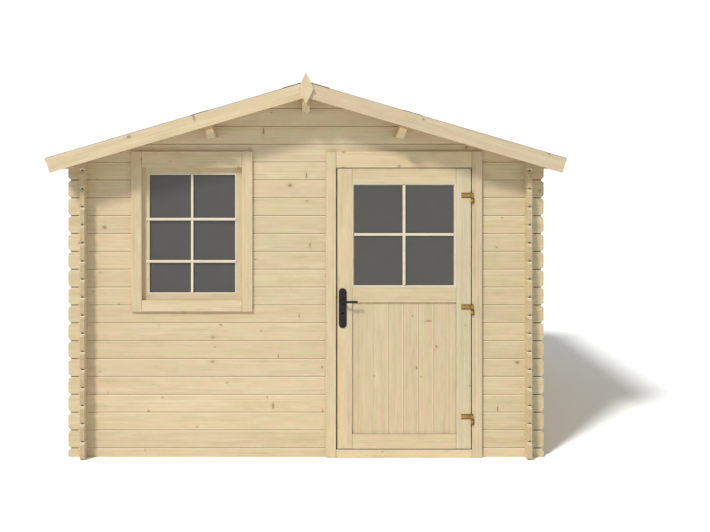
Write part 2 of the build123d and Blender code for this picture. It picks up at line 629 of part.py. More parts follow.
with BuildPart() as door_panel:
    panel_left = PANE_LEFT - GLASS_SLIP
    panel_right = PANE_RIGHT + GLASS_SLIP
    panel_back = PANEL_FRONT + PANEL_THICKNESS
    joint = PANE_LEFT + PANEL_FIRST_JOINT
    face = [(panel_right, PANEL_FRONT), (panel_right, panel_back),
            (panel_left, panel_back), (panel_left, PANEL_FRONT)]
    while joint < PANE_RIGHT - PANEL_V:
        face += [(joint - PANEL_V, PANEL_FRONT), (joint, PANEL_FRONT + PANEL_V),
                 (joint + PANEL_V, PANEL_FRONT)]
        joint += PANEL_PITCH
    with BuildSketch(Plane.XY.offset(PANEL_FOOT - GLASS_SLIP)):
        Polygon(*face, align=None)
    extrude(amount=MID_RAIL_FOOT - PANEL_FOOT + 2 * GLASS_SLIP)
keep(door_panel, "door_panel")

with BuildPart() as door_glass:
    clear_block((PANE_LEFT - GLASS_SLIP, GLAZING_FRONT, MID_RAIL_TOP - GLASS_SLIP),
                (PANE_RIGHT + GLASS_SLIP, GLAZING_FRONT + GLASS_THICKNESS, PANE_TOP + GLASS_SLIP), Mode.ADD)
keep(door_glass, "door_glass")

# Lift-off hinges: a strap with the upper knuckle on the leaf, a plate with the lower one and its pin
PLATE_EDGE = HINGE_X + KNUCKLE_RADIUS + 2 * KNUCKLE_GAP


def knuckle(low, high):
    """A length of the hinge's barrel."""
    with BuildSketch(Plane.XY.offset(low)) as ring:
        with Locations((HINGE_X, HINGE_Y)):
            RegularPolygon(KNUCKLE_RADIUS, KNUCKLE_SIDES)
    extrude(ring.sketch, amount=high - low)


with BuildPart() as door_hinge_straps:
    for level in HINGE_LEVELS:
        low = level + KNUCKLE_GAP / 2
        high = level + STRAP_HEIGHT
        clear_block((LEAF_RIGHT - STRAP_LENGTH, LEAF_FRONT - HINGE_PLATE, low),
                    (HINGE_X, LEAF_FRONT, high), Mode.ADD)
        knuckle(low, high)
        with BuildSketch(Plane.XY.offset(low)):
            with Locations((HINGE_X, HINGE_Y)):
                RegularPolygon(PIN_RADIUS + PIN_CLEARANCE, KNUCKLE_SIDES, major_radius=False)
        extrude(amount=high - low, mode=Mode.SUBTRACT)
keep(door_hinge_straps, "door_hinge_straps")

with BuildPart() as frame_hinge_plates:
    for level in HINGE_LEVELS:
        low = level - STRAP_HEIGHT
        high = level - KNUCKLE_GAP / 2
        clear_block((PLATE_EDGE, FRAME_FRONT - HINGE_PLATE, low),
                    (DOOR_RIGHT + HINGE_PLATE_REACH, FRAME_FRONT, high), Mode.ADD)
        clear_block((HINGE_X, FRAME_FRONT - HINGE_PLATE, low), (PLATE_EDGE, FRAME_FRONT - KNUCKLE_GAP, high),
                    Mode.ADD)
        knuckle(low, high)
        with BuildSketch(Plane.XY.offset(low)):
            with Locations((HINGE_X, HINGE_Y)):
                RegularPolygon(PIN_RADIUS, KNUCKLE_SIDES)
        extrude(amount=2 * STRAP_HEIGHT)
keep(frame_hinge_plates, "frame_hinge_plates")

# Lock plates on both faces of the locked stile, and the lever on its spindle
with BuildPart() as lock_plates:
    for plane, width, height, thickness in (
        (Plane.XZ.offset(-LEAF_FRONT), LOCK_PLATE_WIDTH, LOCK_PLATE_HEIGHT, LOCK_PLATE_THICKNESS),
        (Plane.XZ.offset(-LEAF_BACK), INNER_PLATE_WIDTH, INNER_PLATE_HEIGHT, -INNER_PLATE_THICKNESS),
    ):
        with BuildSketch(plane):
            with Locations((LOCK_X, LOCK_PLATE_CENTRE)):
                SlotOverall(height, width, rotation=90)
            with Locations((LOCK_X, LEVER_LEVEL)):
                RegularPolygon(SPINDLE_HOLE, SPINDLE_HOLE_SIDES, major_radius=False, mode=Mode.SUBTRACT)
            with Locations((LOCK_X, KEYHOLE_LEVEL)):
                RegularPolygon(KEYHOLE_RADIUS, KEYHOLE_SIDES, mode=Mode.SUBTRACT)
        extrude(amount=thickness)
keep(lock_plates, "lock_plates")

with BuildPart() as door_lever:
    outer_face = LEAF_FRONT - LOCK_PLATE_THICKNESS - PIECE_GAP
    inner_face = LEAF_BACK + INNER_PLATE_THICKNESS + PIECE_GAP
    for neck_start, outward in ((outer_face, -1), (inner_face, 1)):
        grip_back = neck_start + outward * (LEVER_STANDOFF - LEVER_THICKNESS)
        with BuildSketch(Plane.XZ.offset(-neck_start)):
            with Locations((LOCK_X, LEVER_LEVEL)):
                Circle(NECK_RADIUS)
        extrude(amount=neck_start - grip_back)
        with BuildSketch(Plane.XZ.offset(-grip_back)):
            with Locations((LOCK_X, LEVER_LEVEL)):
                Circle(LEVER_HEEL_RADIUS)
            with Locations((LOCK_X + LEVER_REACH - LEVER_TIP_RADIUS, LEVER_LEVEL)):
                Circle(LEVER_TIP_RADIUS)
            make_hull()
        extrude(amount=-outward * LEVER_THICKNESS)
    clear_block((LOCK_X - SPINDLE / 2, outer_face, LEVER_LEVEL - SPINDLE / 2),
                (LOCK_X + SPINDLE / 2, inner_face, LEVER_LEVEL + SPINDLE / 2), Mode.ADD)
keep(door_lever, "door_lever")

for piece in pieces:
    export_step(piece, f"parts/{piece.label}.step")
print(f"{len(pieces)} pieces, {sum(len(piece.solids()) for piece in pieces)} solids")
print(f"hinge axis x {HINGE_X:.2f} y {HINGE_Y:.2f}; lever x {LOCK_X:.2f} z {LEVER_LEVEL:.1f}")
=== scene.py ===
"""Finishes, glazing bars, roof covering and ironmongery of a garden log shed.

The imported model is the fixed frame, and everything here is placed from it. Lengths are in metres,
+Z is up, the front wall faces -Y, and the origin is on the ground at the centre of the shed. TOUCH is
the hair's breadth between a piece and what it lies against, PLAY the clearance at the ends of a piece
that fits into an opening, and PLAIN the colour that leaves another as it is.
"""

import logging
import math
from dataclasses import dataclass, field, replace
from enum import Enum
from typing import Any, Sequence, Union

import bpy
import numpy as np
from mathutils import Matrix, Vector


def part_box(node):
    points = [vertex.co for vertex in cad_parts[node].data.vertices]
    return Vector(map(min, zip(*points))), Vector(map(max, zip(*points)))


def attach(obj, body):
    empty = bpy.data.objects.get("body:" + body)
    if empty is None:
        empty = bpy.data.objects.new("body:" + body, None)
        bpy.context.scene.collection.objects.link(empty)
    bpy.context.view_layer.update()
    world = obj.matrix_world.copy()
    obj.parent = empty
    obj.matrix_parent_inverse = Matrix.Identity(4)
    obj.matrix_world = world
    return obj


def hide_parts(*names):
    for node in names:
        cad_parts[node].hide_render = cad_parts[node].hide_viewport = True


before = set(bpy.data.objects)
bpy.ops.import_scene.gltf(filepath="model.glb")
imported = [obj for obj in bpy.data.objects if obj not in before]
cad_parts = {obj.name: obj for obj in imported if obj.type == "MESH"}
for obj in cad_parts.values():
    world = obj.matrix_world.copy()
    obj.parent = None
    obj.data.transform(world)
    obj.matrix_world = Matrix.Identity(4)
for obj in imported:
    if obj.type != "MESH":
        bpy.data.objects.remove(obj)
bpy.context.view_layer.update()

log = logging.getLogger("log_shed")

Colour = tuple[float, float, float]
Shape = tuple[np.ndarray, list[list[int]]]
Number = Union[float, "Wire"]

ROOF_SLOPE = math.radians(16.35)
SIN_SLOPE = math.sin(ROOF_SLOPE)
COS_SLOPE = math.cos(ROOF_SLOPE)
LOG_PITCH = 0.112
TOUCH = 0.0002
PLAY = 0.0003
PLAIN = (1.0, 1.0, 1.0)


class Side(Enum):
    """The two slopes of the roof, with the sign of X on each."""

    LEFT = -1
    RIGHT = 1

    @property
    def hand(self) -> str:
        """The word that CAD names use for this side."""
        return self.name.lower()


class Grain(Enum):
    """The way the fibres of a timber run, as its along, across and depth axes."""

    LEVEL = (0, 2, 1)
    LENGTHWISE = (1, 2, 0)
    UPRIGHT = (2, 0, 1)
    UP_SLOPE = (0, 1, 2)


class Wire:
    """The output of a node, on which arithmetic adds Math nodes."""

    def __init__(self, graph: "Graph", socket: bpy.types.NodeSocket) -> None:
        """Keeps the graph and the socket.

        Args:
            graph: The material's graph, in which new nodes are made.
            socket: The output socket that carries the value.
        """
        self.graph = graph
        self.socket = socket

    def _math(self, operation: str, *values: Number) -> "Wire":
        """Adds one Math node.

        Args:
            operation: The node's operation.
            values: Its inputs, in order.

        Returns:
            The node's result.
        """
        node = self.graph.node("ShaderNodeMath", {"operation": operation}, dict(enumerate(values)))
        return Wire(self.graph, node.outputs[0])

    def __add__(self, other: Number) -> "Wire":
        """This value plus another."""
        return self._math("ADD", self, other)

    __radd__ = __add__

    def __sub__(self, other: Number) -> "Wire":
        """This value less another."""
        return self._math("SUBTRACT", self, other)

    def __rsub__(self, other: Number) -> "Wire":
        """Another value less this one."""
        return self._math("SUBTRACT", other, self)

    def __mul__(self, other: Number) -> "Wire":
        """This value times another."""
        return self._math("MULTIPLY", self, other)

    __rmul__ = __mul__

    def __truediv__(self, other: Number) -> "Wire":
        """This value divided by another."""
        return self._math("DIVIDE", self, other)

    def __pow__(self, other: Number) -> "Wire":
        """This value to a power."""
        return self._math("POWER", self, other)

    def floor(self) -> "Wire":
        """The whole number at or below this value."""
        return self._math("FLOOR", self)

    def fraction(self) -> "Wire":
        """What this value has past its whole number."""
        return self._math("FRACT", self)

    def size(self) -> "Wire":
        """This value without its sign."""
        return self._math("ABSOLUTE", self)

    def least(self, other: Number) -> "Wire":
        """The lesser of this value and another."""
        return self._math("MINIMUM", self, other)

    def above(self, limit: Number) -> "Wire":
        """1 where this value is over a limit, and 0 elsewhere."""
        return self._math("GREATER_THAN", self, limit)

    def rise(self, low: Number, high: Number) -> "Wire":
        """A smooth step from 0 to 1 as this value goes from low to high.

        Args:
            low: Where the step starts.
            high: Where it ends.

        Returns:
            The step.
        """
        node = self.graph.node("ShaderNodeMapRange", {"interpolation_type": "SMOOTHSTEP"},
                               {"Value": self, "From Min": low, "From Max": high})
        return Wire(self.graph, node.outputs["Result"])


class Graph:
    """The nodes of one material or world."""

    def __init__(self, owner: bpy.types.ID) -> None:
        """Empties the node tree of a material or world.

        Args:
            owner: The material or world.
        """
        owner.use_nodes = True
        self.owner = owner
        self.tree = owner.node_tree
        self.tree.nodes.clear()

    def node(self, kind: str, settings: dict[str, Any] | None = None,
             inputs: dict[Any, Any] | None = None) -> bpy.types.Node:
        """Adds a node.

        Args:
            kind: The node's type.
            settings: Its settings, which are set first.
            inputs: Values or links of its sockets, by name, identifier or number.

        Returns:
            The node.
        """
        node = self.tree.nodes.new(kind)
        for key, value in (settings or {}).items():
            setattr(node, key, value)
        for key, value in (inputs or {}).items():
            socket = self._socket(node, key)
            if isinstance(value, Wire):
                self.tree.links.new(value.socket, socket)
            elif isinstance(value, bpy.types.NodeSocket):
                self.tree.links.new(value, socket)
            elif isinstance(value, tuple) and len(value) == 3 and socket.type == "RGBA":
                socket.default_value = (*value, 1.0)
            else:
                socket.default_value = value
        return node

    @staticmethod
    def _socket(node: bpy.types.Node, key: Any) -> bpy.types.NodeSocket:
        """Finds an input socket.

        Args:
            node: The node.
            key: The socket's number, identifier or name.

        Returns:
            The socket.
        """
        if isinstance(key, int):
            return node.inputs[key]
        for socket in node.inputs:
            if socket.identifier == key:
                return socket
        return node.inputs[key]

    def parts(self, vector: Any) -> list[Wire]:
        """The three parts of a vector or colour."""
        node = self.node("ShaderNodeSeparateXYZ", {}, {"Vector": vector})
        return [Wire(self, socket) for socket in node.outputs]

    def vector(self, x: Number, y: Number, z: Number = 0.0) -> Wire:
        """A vector made from three values."""
        node = self.node("ShaderNodeCombineXYZ", {}, {"X": x, "Y": y, "Z": z})
        return Wire(self, node.outputs[0])

    def length(self, x: Number, y: Number) -> Wire:
        """The distance that two legs at right angles span."""
        node = self.node("ShaderNodeVectorMath", {"operation": "LENGTH"}, {0: self.vector(x, y)})
        return Wire(self, node.outputs["Value"])

    def place(self, tilt: float = 0.0) -> Wire:
        """Object coordinates, turned about Y.

        Args:
            tilt: The turn in radians, so that X runs along a slope.

        Returns:
            The coordinates.
        """
        coordinates = self.node("ShaderNodeTexCoord").outputs["Object"]
        if tilt:
            turned = self.node("ShaderNodeMapping", {"vector_type": "POINT"},
                               {"Vector": coordinates, "Rotation": (0.0, tilt, 0.0)})
            coordinates = turned.outputs["Vector"]
        return Wire(self, coordinates)

    def noise(self, vector: Wire, scale: float = 1.0, detail: float = 2.0, rough: float = 0.5,
              output: str = "Fac") -> Wire:
        """A noise texture.

        Args:
            vector: Where it is read.
            scale: Its scale.
            detail: How many finer layers it has.
            rough: How strong those layers are.
            output: Fac for one value, or Color for three that differ.

        Returns:
            The value or colour.
        """
        node = self.node("ShaderNodeTexNoise", {"noise_dimensions": "3D"},
                         {"Vector": vector, "Scale": scale, "Detail": detail, "Roughness": rough})
        return self.value(node, output)

    def value(self, node: bpy.types.Node, name: str) -> Wire:
        """One output of a node."""
        return Wire(self, node.outputs[name])

    def seen(self) -> Wire:
        """Tells what is looked at from what only lights.

        Returns:
            1 for what the camera, a reflection or a view through glass sees, and 0 for other light.
        """
        path = self.node("ShaderNodeLightPath")
        rays = (self.value(path, f"Is {kind} Ray") for kind in ("Camera", "Glossy", "Transmission"))
        return sum(rays, 0.0).above(0.5)

    def mix(self, factor: Number, first: Any, second: Any, blend: str = "MIX") -> Wire:
        """A mix of two colours.

        Args:
            factor: How much of the second.
            first: The first colour.
            second: The second colour.
            blend: How they are blended.

        Returns:
            The mixed colour.
        """
        node = self.node("ShaderNodeMix", {"data_type": "RGBA", "blend_type": blend},
                         {"Factor_Float": factor, "A_Color": first, "B_Color": second})
        return Wire(self, next(socket for socket in node.outputs if socket.identifier == "Result_Color"))

    def bump(self, height: Wire, distance: float, strength: float = 1.0) -> Wire:
        """A normal that follows a height."""
        node = self.node("ShaderNodeBump", {},
                         {"Height": height, "Distance": distance, "Strength": strength})
        return self.value(node, "Normal")

    def finish(self, inputs: dict[str, Any]) -> bpy.types.Material:
        """Closes the material with a Principled shader.

        Args:
            inputs: The shader's sockets.

        Returns:
            The material.
        """
        shader = self.node("ShaderNodeBsdfPrincipled", {}, inputs)
        self.node("ShaderNodeOutputMaterial", {}, {"Surface": shader.outputs[0]})
        return self.owner


@dataclass(frozen=True)
class Board:
    """Where a point lies in its board, and what the board has drawn by chance.

    Attributes:
        along: The place along the fibres.
        across: The place across the board's face, from its middle.
        depth: The place through its thickness, from its middle.
        index: The board's number.
        draws: The board's three chance values from 0 to 1.
        shifted: The place along the fibres, moved by a draw so that no two boards are alike.
    """

    along: Wire
    across: Wire
    depth: Wire
    index: Number
    draws: Sequence[Number]
    shifted: Wire


@dataclass(frozen=True)
class Spruce:
    """Planed spruce, with rings round a pith behind the board, fibres, knots and darker ends, and painted
    highlight and shade at its joints, edges and grooves.

    Attributes:
        name: The material's name.
        grain: The way the fibres run.
        centre: The middle of the timber or wall.
        seed: The number that its chance values are drawn from.
        pitch: The breadth of a board where a mesh shows several, or 0 for a single timber.
        start: Where the first board's edge is.
        tilt: The turn about Y that brings the fibres level.
        knots: The share of places for a knot that hold one.
        light, dark, rose, olive, knot, halo, edge: The colours of the wood; halo also paints shade on a
        board's lower edge, and edge is the colour of the painted highlight on its upper edge.
        ring: The distance between year rings.
        knot_spacing: The distance along a board between places for a knot.
        joint: The breadth of the eased edge at a joint.
        seam: Half the breadth of the dark line at a joint.
        seam_depth: How strong that line is.
        corner: How far from the middle the logs cross, past which that line is broader and darker, as
            painted shade of the grooves at the logs' ends.
        groove: Half the breadth of the groove that shows in a log's end, whose hollow gets painted shade, or
            0.
        rim: Half the length and breadth of a timber whose edges get a dark line, partly its joints and
            partly painted shade.
        rim_line: The breadth of that line along its sides.
        stiles: The middle and half the width of a sash's opening, past which the fibres stand upright.
        tint: What the colour is multiplied by.
    """

    name: str
    grain: Grain
    centre: tuple[float, float, float]
    seed: int
    pitch: float = 0.0
    start: float = 0.0
    tilt: float = 0.0
    knots: float = 0.5
    light: Colour = (0.805, 0.680, 0.450)
    dark: Colour = (0.610, 0.480, 0.275)
    rose: Colour = (0.780, 0.575, 0.385)
    olive: Colour = (0.690, 0.605, 0.325)
    knot: Colour = (0.200, 0.135, 0.066)
    halo: Colour = (0.560, 0.400, 0.215)
    # edge is only the colour of the painted highlight on a board's upper edge.
    edge: Colour = (0.960, 0.820, 0.580)
    ring: float = 0.0034
    knot_spacing: float = 0.36
    joint: float = 0.004
    seam: float = 0.0014
    seam_depth: float = 0.68
    corner: float = 9.0
    groove: float = 0.0
    rim: tuple[float, float] | None = None
    rim_line: float = 0.0026
    stiles: tuple[float, float] | None = None
    tint: Colour = PLAIN

    def material(self) -> bpy.types.Material:
        """Builds the material.

        Returns:
            The material.
        """
        graph = Graph(bpy.data.materials.new(self.name))
        board = self._board(graph)
        core, outline, halo = self._knot_masks(graph, board)
        colour, tone, relief = self._wood(graph, board, halo)
        colour = graph.mix(halo * 0.28, colour, self.halo)
        colour = graph.mix(core * 0.70, colour, self.knot)
        colour = graph.mix(outline * 0.40, colour, self.knot)
        shade = board.draws[2] * 0.10 + 0.95
        colour = graph.mix(1.0, colour, graph.vector(*(shade * part for part in self.tint)), "MULTIPLY")
        # Painted highlight and shade at the joints, and painted shade along the lined edges and in the
        # grooves.
        if self.pitch:
            colour = self._joint_lines(graph, colour, board)
        if self.rim:
            colour = self._rim_shade_lines(graph, colour, board)
        if self.groove:
            colour = self._paint_groove_shade(graph, colour, board)
        return graph.finish({
            "Base Color": self._end_grain(graph, colour),
            "Roughness": tone * 0.12 + 0.56,
            "Specular IOR Level": 0.3,
            "Normal": graph.bump(relief - core * 0.25, 0.0005, 0.5),
        })

    def _board(self, graph: Graph) -> Board:
        """Finds each point's place in its board.

        Args:
            graph: The material's graph.

        Returns:
            The place and the board's chance values.
        """
        axes = graph.parts(graph.place(self.tilt))
        along, across, depth = (axes[number] for number in self.grain.value)
        _, centre_across, centre_depth = self._turned_centre()
        if self.stiles:
            middle, half = self.stiles
            stile = (along - middle).size().above(half)
            along, across = along + (across - along) * stile, across + (along - across) * stile
        if self.pitch:
            index = ((across - self.start) / self.pitch).floor()
            chance = graph.node("ShaderNodeTexWhiteNoise", {"noise_dimensions": "1D"},
                                {"W": index + self.seed * 17.3})
            draws = graph.parts(chance.outputs["Color"])
            local = across - self.start - (index + 0.5) * self.pitch
        else:
            index = float(self.seed)
            draws = [float(value) for value in np.random.RandomState(self.seed).rand(3)]
            local = across - centre_across
        return Board(along, local, depth - centre_depth, index, draws, along + draws[0] * 37.0)

    def _turned_centre(self) -> tuple[float, float, float]:
        """The centre in the coordinates that the pattern is read in.

        Returns:
            Its places along, across and through the board.
        """
        x, y, z = self.centre
        cosine, sine = math.cos(self.tilt), math.sin(self.tilt)
        turned = (x * cosine + z * sine, y, z * cosine - x * sine)
        return tuple(turned[number] for number in self.grain.value)

    def _wood(self, graph: Graph, board: Board, halo: Wire) -> tuple[Wire, Wire, Wire]:
        """Draws the rings, fibres and patches of sound wood.

        A ring's phase is the distance from the pith over the rings' spacing. It wavers with the
        fibres and bends round the knots, and its later part is darker.

        Args:
            graph: The material's graph.
            board: The place in the board.
            halo: The mask of the wood round a knot.

        Returns:
            The colour, how dark the wood is from 0 to 1, and its relief.
        """
        first, second, _ = board.draws

        def stretched(length: float, breadth: float) -> Wire:
            """The place, scaled more across the fibres than along them."""
            return graph.vector(board.shifted * length, board.across * breadth, board.depth * breadth)

        drift = graph.vector(board.shifted * 0.35, board.across * 1.5, board.index * 3.7)
        sway, heave, _ = graph.parts(graph.noise(drift, 1.0, 1.0, output="Color"))
        radius = graph.length(board.across - (first - 0.5) * 0.12 + (sway - 0.5) * 0.03,
                              board.depth - 0.02 - second * 0.06 + (heave - 0.5) * 0.03)
        fibre = graph.noise(stretched(2.6, 150.0), 1.0, 4.0, 0.7)
        band = graph.noise(stretched(1.1, 24.0), 1.0, 3.0)
        phase = (radius / self.ring + fibre * 0.6 + halo * 1.5).fraction()
        late = phase.rise(0.30, 0.85) * (1.0 - phase.rise(0.92, 1.0))
        warm, cool, pale = graph.parts(graph.noise(stretched(7.0, 26.0), 1.0, 3.0, 0.6, "Color"))
        tone = late * 0.20 + (fibre - 0.5) * 1.1 + (band - 0.5) * 0.7 + (pale - 0.5) * 0.7 + 0.38
        tone = tone.rise(0.0, 1.0)
        colour = graph.mix(tone, self.light, self.dark)
        colour = graph.mix(warm.rise(0.42, 0.70) * (0.45 + second * 0.35), colour, self.rose)
        colour = graph.mix(cool.rise(0.48, 0.72) * (0.30 + first * 0.40), colour, self.olive)
        return colour, tone, fibre * 0.6 + late * 0.3

    def _joint_lines(self, graph: Graph, colour: Wire, board: Board) -> Wire:
        """Marks the joints between boards: a dark seam, painted shade on a board's lower edge and a painted
        highlight on its upper one.

        Args:
            graph: The material's graph.
            colour: The wood's colour.
            board: The place in the board.

        Returns:
            The colour with its joints.
        """
        edge = self.pitch / 2
        # Painted highlight on the board's upper edge, which faces up to the sun, and painted shade on its
        # lower edge, which faces down.
        painted_highlight = board.across.rise(edge - self.joint * 1.8, edge - self.joint * 1.3)
        painted_shade = (board.across * -1.0).rise(edge - self.joint * 1.3, edge - self.joint * 0.8)
        # The seam is the dark line of the joint; past the corner it is broader and darker, as painted shade
        # of the grooves at the logs' ends.
        past = board.along.size().above(self.corner)
        seam = board.across.size().rise(edge - self.seam * (past * 1.2 + 1.5),
                                        edge - self.seam * (past + 1.0))
        colour = graph.mix(painted_highlight * 0.8, colour, self.edge)
        colour = graph.mix(painted_shade * 0.35, colour, self.halo)
        return graph.mix(seam * (past * 0.25 + self.seam_depth), colour, self.knot)

    def _rim_shade_lines(self, graph: Graph, colour: Wire, board: Board) -> Wire:
        """Darkens the edges of a timber's face, where it meets its neighbours, partly as the joint and
        partly as painted shade.

        Args:
            graph: The material's graph.
            colour: The wood's colour.
            board: The place in the board.

        Returns:
            The colour with its edges.
        """
        half_length, half_breadth = self.rim
        past_end = (board.along - self._turned_centre()[0]).size() - half_length
        past_side = board.across.size() - half_breadth
        # The line along the ends and sides is partly the joint and partly painted shade.
        inside = (1.0 - past_end.rise(-0.0030, -0.0014)) * (
            1.0 - past_side.rise(-self.rim_line, 0.0016 - self.rim_line))
        return graph.mix((1.0 - inside) * 0.5, colour, self.knot)

    def _paint_groove_shade(self, graph: Graph, colour: Wire, board: Board) -> Wire:
        """Paints shade into the groove under each log, which shows at the log's end.

        Args:
            graph: The material's graph.
            colour: The wood's colour.
            board: The place in the board.

        Returns:
            The colour with its grooves.
        """
        # Painted shade in the groove's hollow, within its breadth and just above the log's underside.
        sides = 1.0 - board.depth.size().rise(self.groove, self.groove + 0.002)
        roof = 1.0 - (board.across + self.pitch / 2).size().rise(0.008, 0.011)
        return graph.mix(sides * roof * 0.8, colour, self.knot)

    def _end_grain(self, graph: Graph, colour: Wire) -> Wire:
        """Darkens the faces that look along the fibres.

        Args:
            graph: The material's graph.
            colour: The wood's colour.

        Returns:
            The colour with its ends.
        """
        normal = graph.parts(graph.node("ShaderNodeTexCoord").outputs["Normal"])[self.grain.value[0]]
        return graph.mix(normal.size().rise(0.75, 0.95), colour, (0.88, 0.82, 0.74), "MULTIPLY")

    def _knot_masks(self, graph: Graph, board: Board) -> tuple[Wire, ...]:
        """Scatters knots of different sizes, most a little longer along the board and some across it.

        Args:
            graph: The material's graph.
            board: The place in the board.

        Returns:
            Masks of the knot itself, its dark outline and the darker wood round it.
        """
        width = self.pitch or 0.11
        cell_x = board.shifted / self.knot_spacing + board.draws[2] * 11.0
        cell_y = board.across / width + board.index * 7.31
        cells = graph.node("ShaderNodeTexVoronoi", {"voronoi_dimensions": "2D", "feature": "F1"},
                           {"Vector": graph.vector(cell_x, cell_y), "Scale": 1.0, "Randomness": 0.9})
        middle_x, middle_y, _ = graph.parts(cells.outputs["Position"])
        here, size, kind = graph.parts(cells.outputs["Color"])
        fine = graph.vector(board.shifted * 60.0, board.across * 60.0, board.index * 2.0)
        rough = graph.noise(fine, 1.0, 2.0)
        spike = kind.above(0.78)
        away_x = (cell_x - middle_x) * self.knot_spacing * (0.72 + spike * 0.9)
        away_y = (cell_y - middle_y) * width * (1.0 - spike * 0.55)
        distance = graph.length(away_x, away_y) + (rough - 0.5) * 0.004
        radius = size * size * 0.0065 + 0.0030
        present = (1.0 - here.rise(self.knots, self.knots + 0.02)) * (kind * 0.45 + 0.55)
        core = (1.0 - distance.rise(radius * 0.6, radius * 1.15)) * present
        outline = distance.rise(radius * 0.6, radius) * (1.0 - distance.rise(radius, radius * 1.5)) * present
        halo = (1.0 - distance.rise(radius * 0.8, radius * 4.0)) * present
        return core, outline, halo


@dataclass(frozen=True)
class ClearSpruce(Spruce):
    """Pale spruce without knots, of which the glazing bars are made."""

    knots: float = 0.0
    light: Colour = (0.950, 0.890, 0.690)
    dark: Colour = (0.820, 0.730, 0.520)
    rose: Colour = (0.900, 0.800, 0.610)
    olive: Colour = (0.860, 0.800, 0.570)


@dataclass(frozen=True)
class Pane:
    """Float glass, nearly opaque, whose dark colour paints the shade of the room behind it, faintly uneven.
    """

    name: str = "pane"
    # The glass's dark colour is painted shade of the room behind it.
    body: Colour = (0.082, 0.076, 0.068)
    alpha: float = 0.88

    def material(self) -> bpy.types.Material:
        """Builds the material.

        Returns:
            The material.
        """
        graph = Graph(bpy.data.materials.new(self.name))
        place = graph.place()
        film = graph.noise(place, 9.0, 3.0)
        waves = graph.noise(place, 3.0, 1.0)
        return graph.finish({
            "Base Color": graph.mix(film, self.body, tuple(part * 1.12 for part in self.body)),
            "Roughness": film * 0.05 + 0.04,
            "Alpha": self.alpha,
            "Normal": graph.bump(waves, 0.002, 0.25),
        })


@dataclass(frozen=True)
class Felt:
    """Roofing felt faced with mineral granules."""

    name: str = "mineral_felt"
    dark: Colour = (0.028, 0.029, 0.031)
    pale: Colour = (0.105, 0.105, 0.108)
    granule: float = 0.0022

    def material(self) -> bpy.types.Material:
        """Builds the material.

        Returns:
            The material.
        """
        graph = Graph(bpy.data.materials.new(self.name))
        place = graph.place()
        grains = graph.node("ShaderNodeTexVoronoi", {"voronoi_dimensions": "3D", "feature": "F1"},
                            {"Vector": place, "Scale": 1.0 / self.granule})
        lot = graph.parts(grains.outputs["Color"])[0]
        cloud = graph.noise(place, 2.3, 4.0)
        tone = lot * 0.55 + cloud * 0.6 - 0.15
        height = 1.0 - graph.value(grains, "Distance")
        return graph.finish({
            "Base Color": graph.mix(tone.rise(0.0, 1.0), self.dark, self.pale),
            "Roughness": lot * 0.15 + 0.8,
            "Specular IOR Level": 0.3,
            "Normal": graph.bump(height, 0.0007, 0.7),
        })


@dataclass(frozen=True)
class Metal:
    """A coated or bare metal, slightly mottled.

    Attributes:
        name: The material's name.
        colour, deep: Its lighter and darker tone.
        metallic: How metallic it is.
        rough: The least roughness.
        mottle: The scale of the mottling.
        specular: The strength of its gloss.
        bands: The heights of the middles of thin parts whose upper and lower edges get painted shade.
        band_half: Half the breadth of such a part.
        band_shade: The colour of the painted shade at its edges.
    """

    name: str
    colour: Colour
    deep: Colour
    metallic: float
    rough: float
    mottle: float = 60.0
    specular: float = 0.5
    bands: tuple[float, ...] = ()
    band_half: float = 0.0165
    band_shade: Colour = (0.150, 0.073, 0.016)

    def material(self) -> bpy.types.Material:
        """Builds the material.

        Returns:
            The material.
        """
        graph = Graph(bpy.data.materials.new(self.name))
        place = graph.place()
        blotch = graph.noise(place, self.mottle, 3.0)
        fine = graph.noise(place, self.mottle * 12.0, 2.0)
        colour = graph.mix(blotch.rise(0.3, 0.75), self.colour, self.deep)
        if self.bands:
            height = graph.parts(place)[2]
            away = (height - self.bands[0]).size()
            for band in self.bands[1:]:
                away = away.least((height - band).size())
            # Painted shade along the upper and lower edges of each band.
            colour = graph.mix(away.rise(self.band_half - 0.009, self.band_half - 0.005) * 0.85, colour,
                               self.band_shade)
        return graph.finish({
            "Base Color": colour,
            "Metallic": self.metallic,
            "Specular IOR Level": self.specular,
            "Roughness": blotch * 0.15 + self.rough,
            "Normal": graph.bump(fine, 0.0001, 0.3),
        })


def quads(rows: int, columns: int, wrap_rows: bool = False, wrap_columns: bool = False) -> np.ndarray:
    """The four corners of each face of a grid of points stored row by row.

    Args:
        rows: How many rows of points there are.
        columns: How many points are in a row.
        wrap_rows: Whether the last row joins the first.
        wrap_columns: Whether the last column joins the first.

    Returns:
        An array of four point numbers for each face.
    """
    row, column = np.meshgrid(np.arange(rows if wrap_rows else rows - 1),
                              np.arange(columns if wrap_columns else columns - 1), indexing="ij")
    next_row, next_column = (row + 1) % rows, (column + 1) % columns
    corners = (row * columns + column, row * columns + next_column,
               next_row * columns + next_column, next_row * columns + column)
    return np.stack([corner.ravel() for corner in corners], axis=1)


def joined(shapes: Sequence[Shape]) -> Shape:
    """Puts several shapes into one, renumbering the points of their faces.

    Args:
        shapes: The shapes.

    Returns:
        One shape.
    """
    points, faces, count = [], [], 0
    for shape_points, shape_faces in shapes:
        points.append(shape_points)
        faces += [[number + count for number in face] for face in shape_faces]
        count += len(shape_points)
    return np.concatenate(points), faces


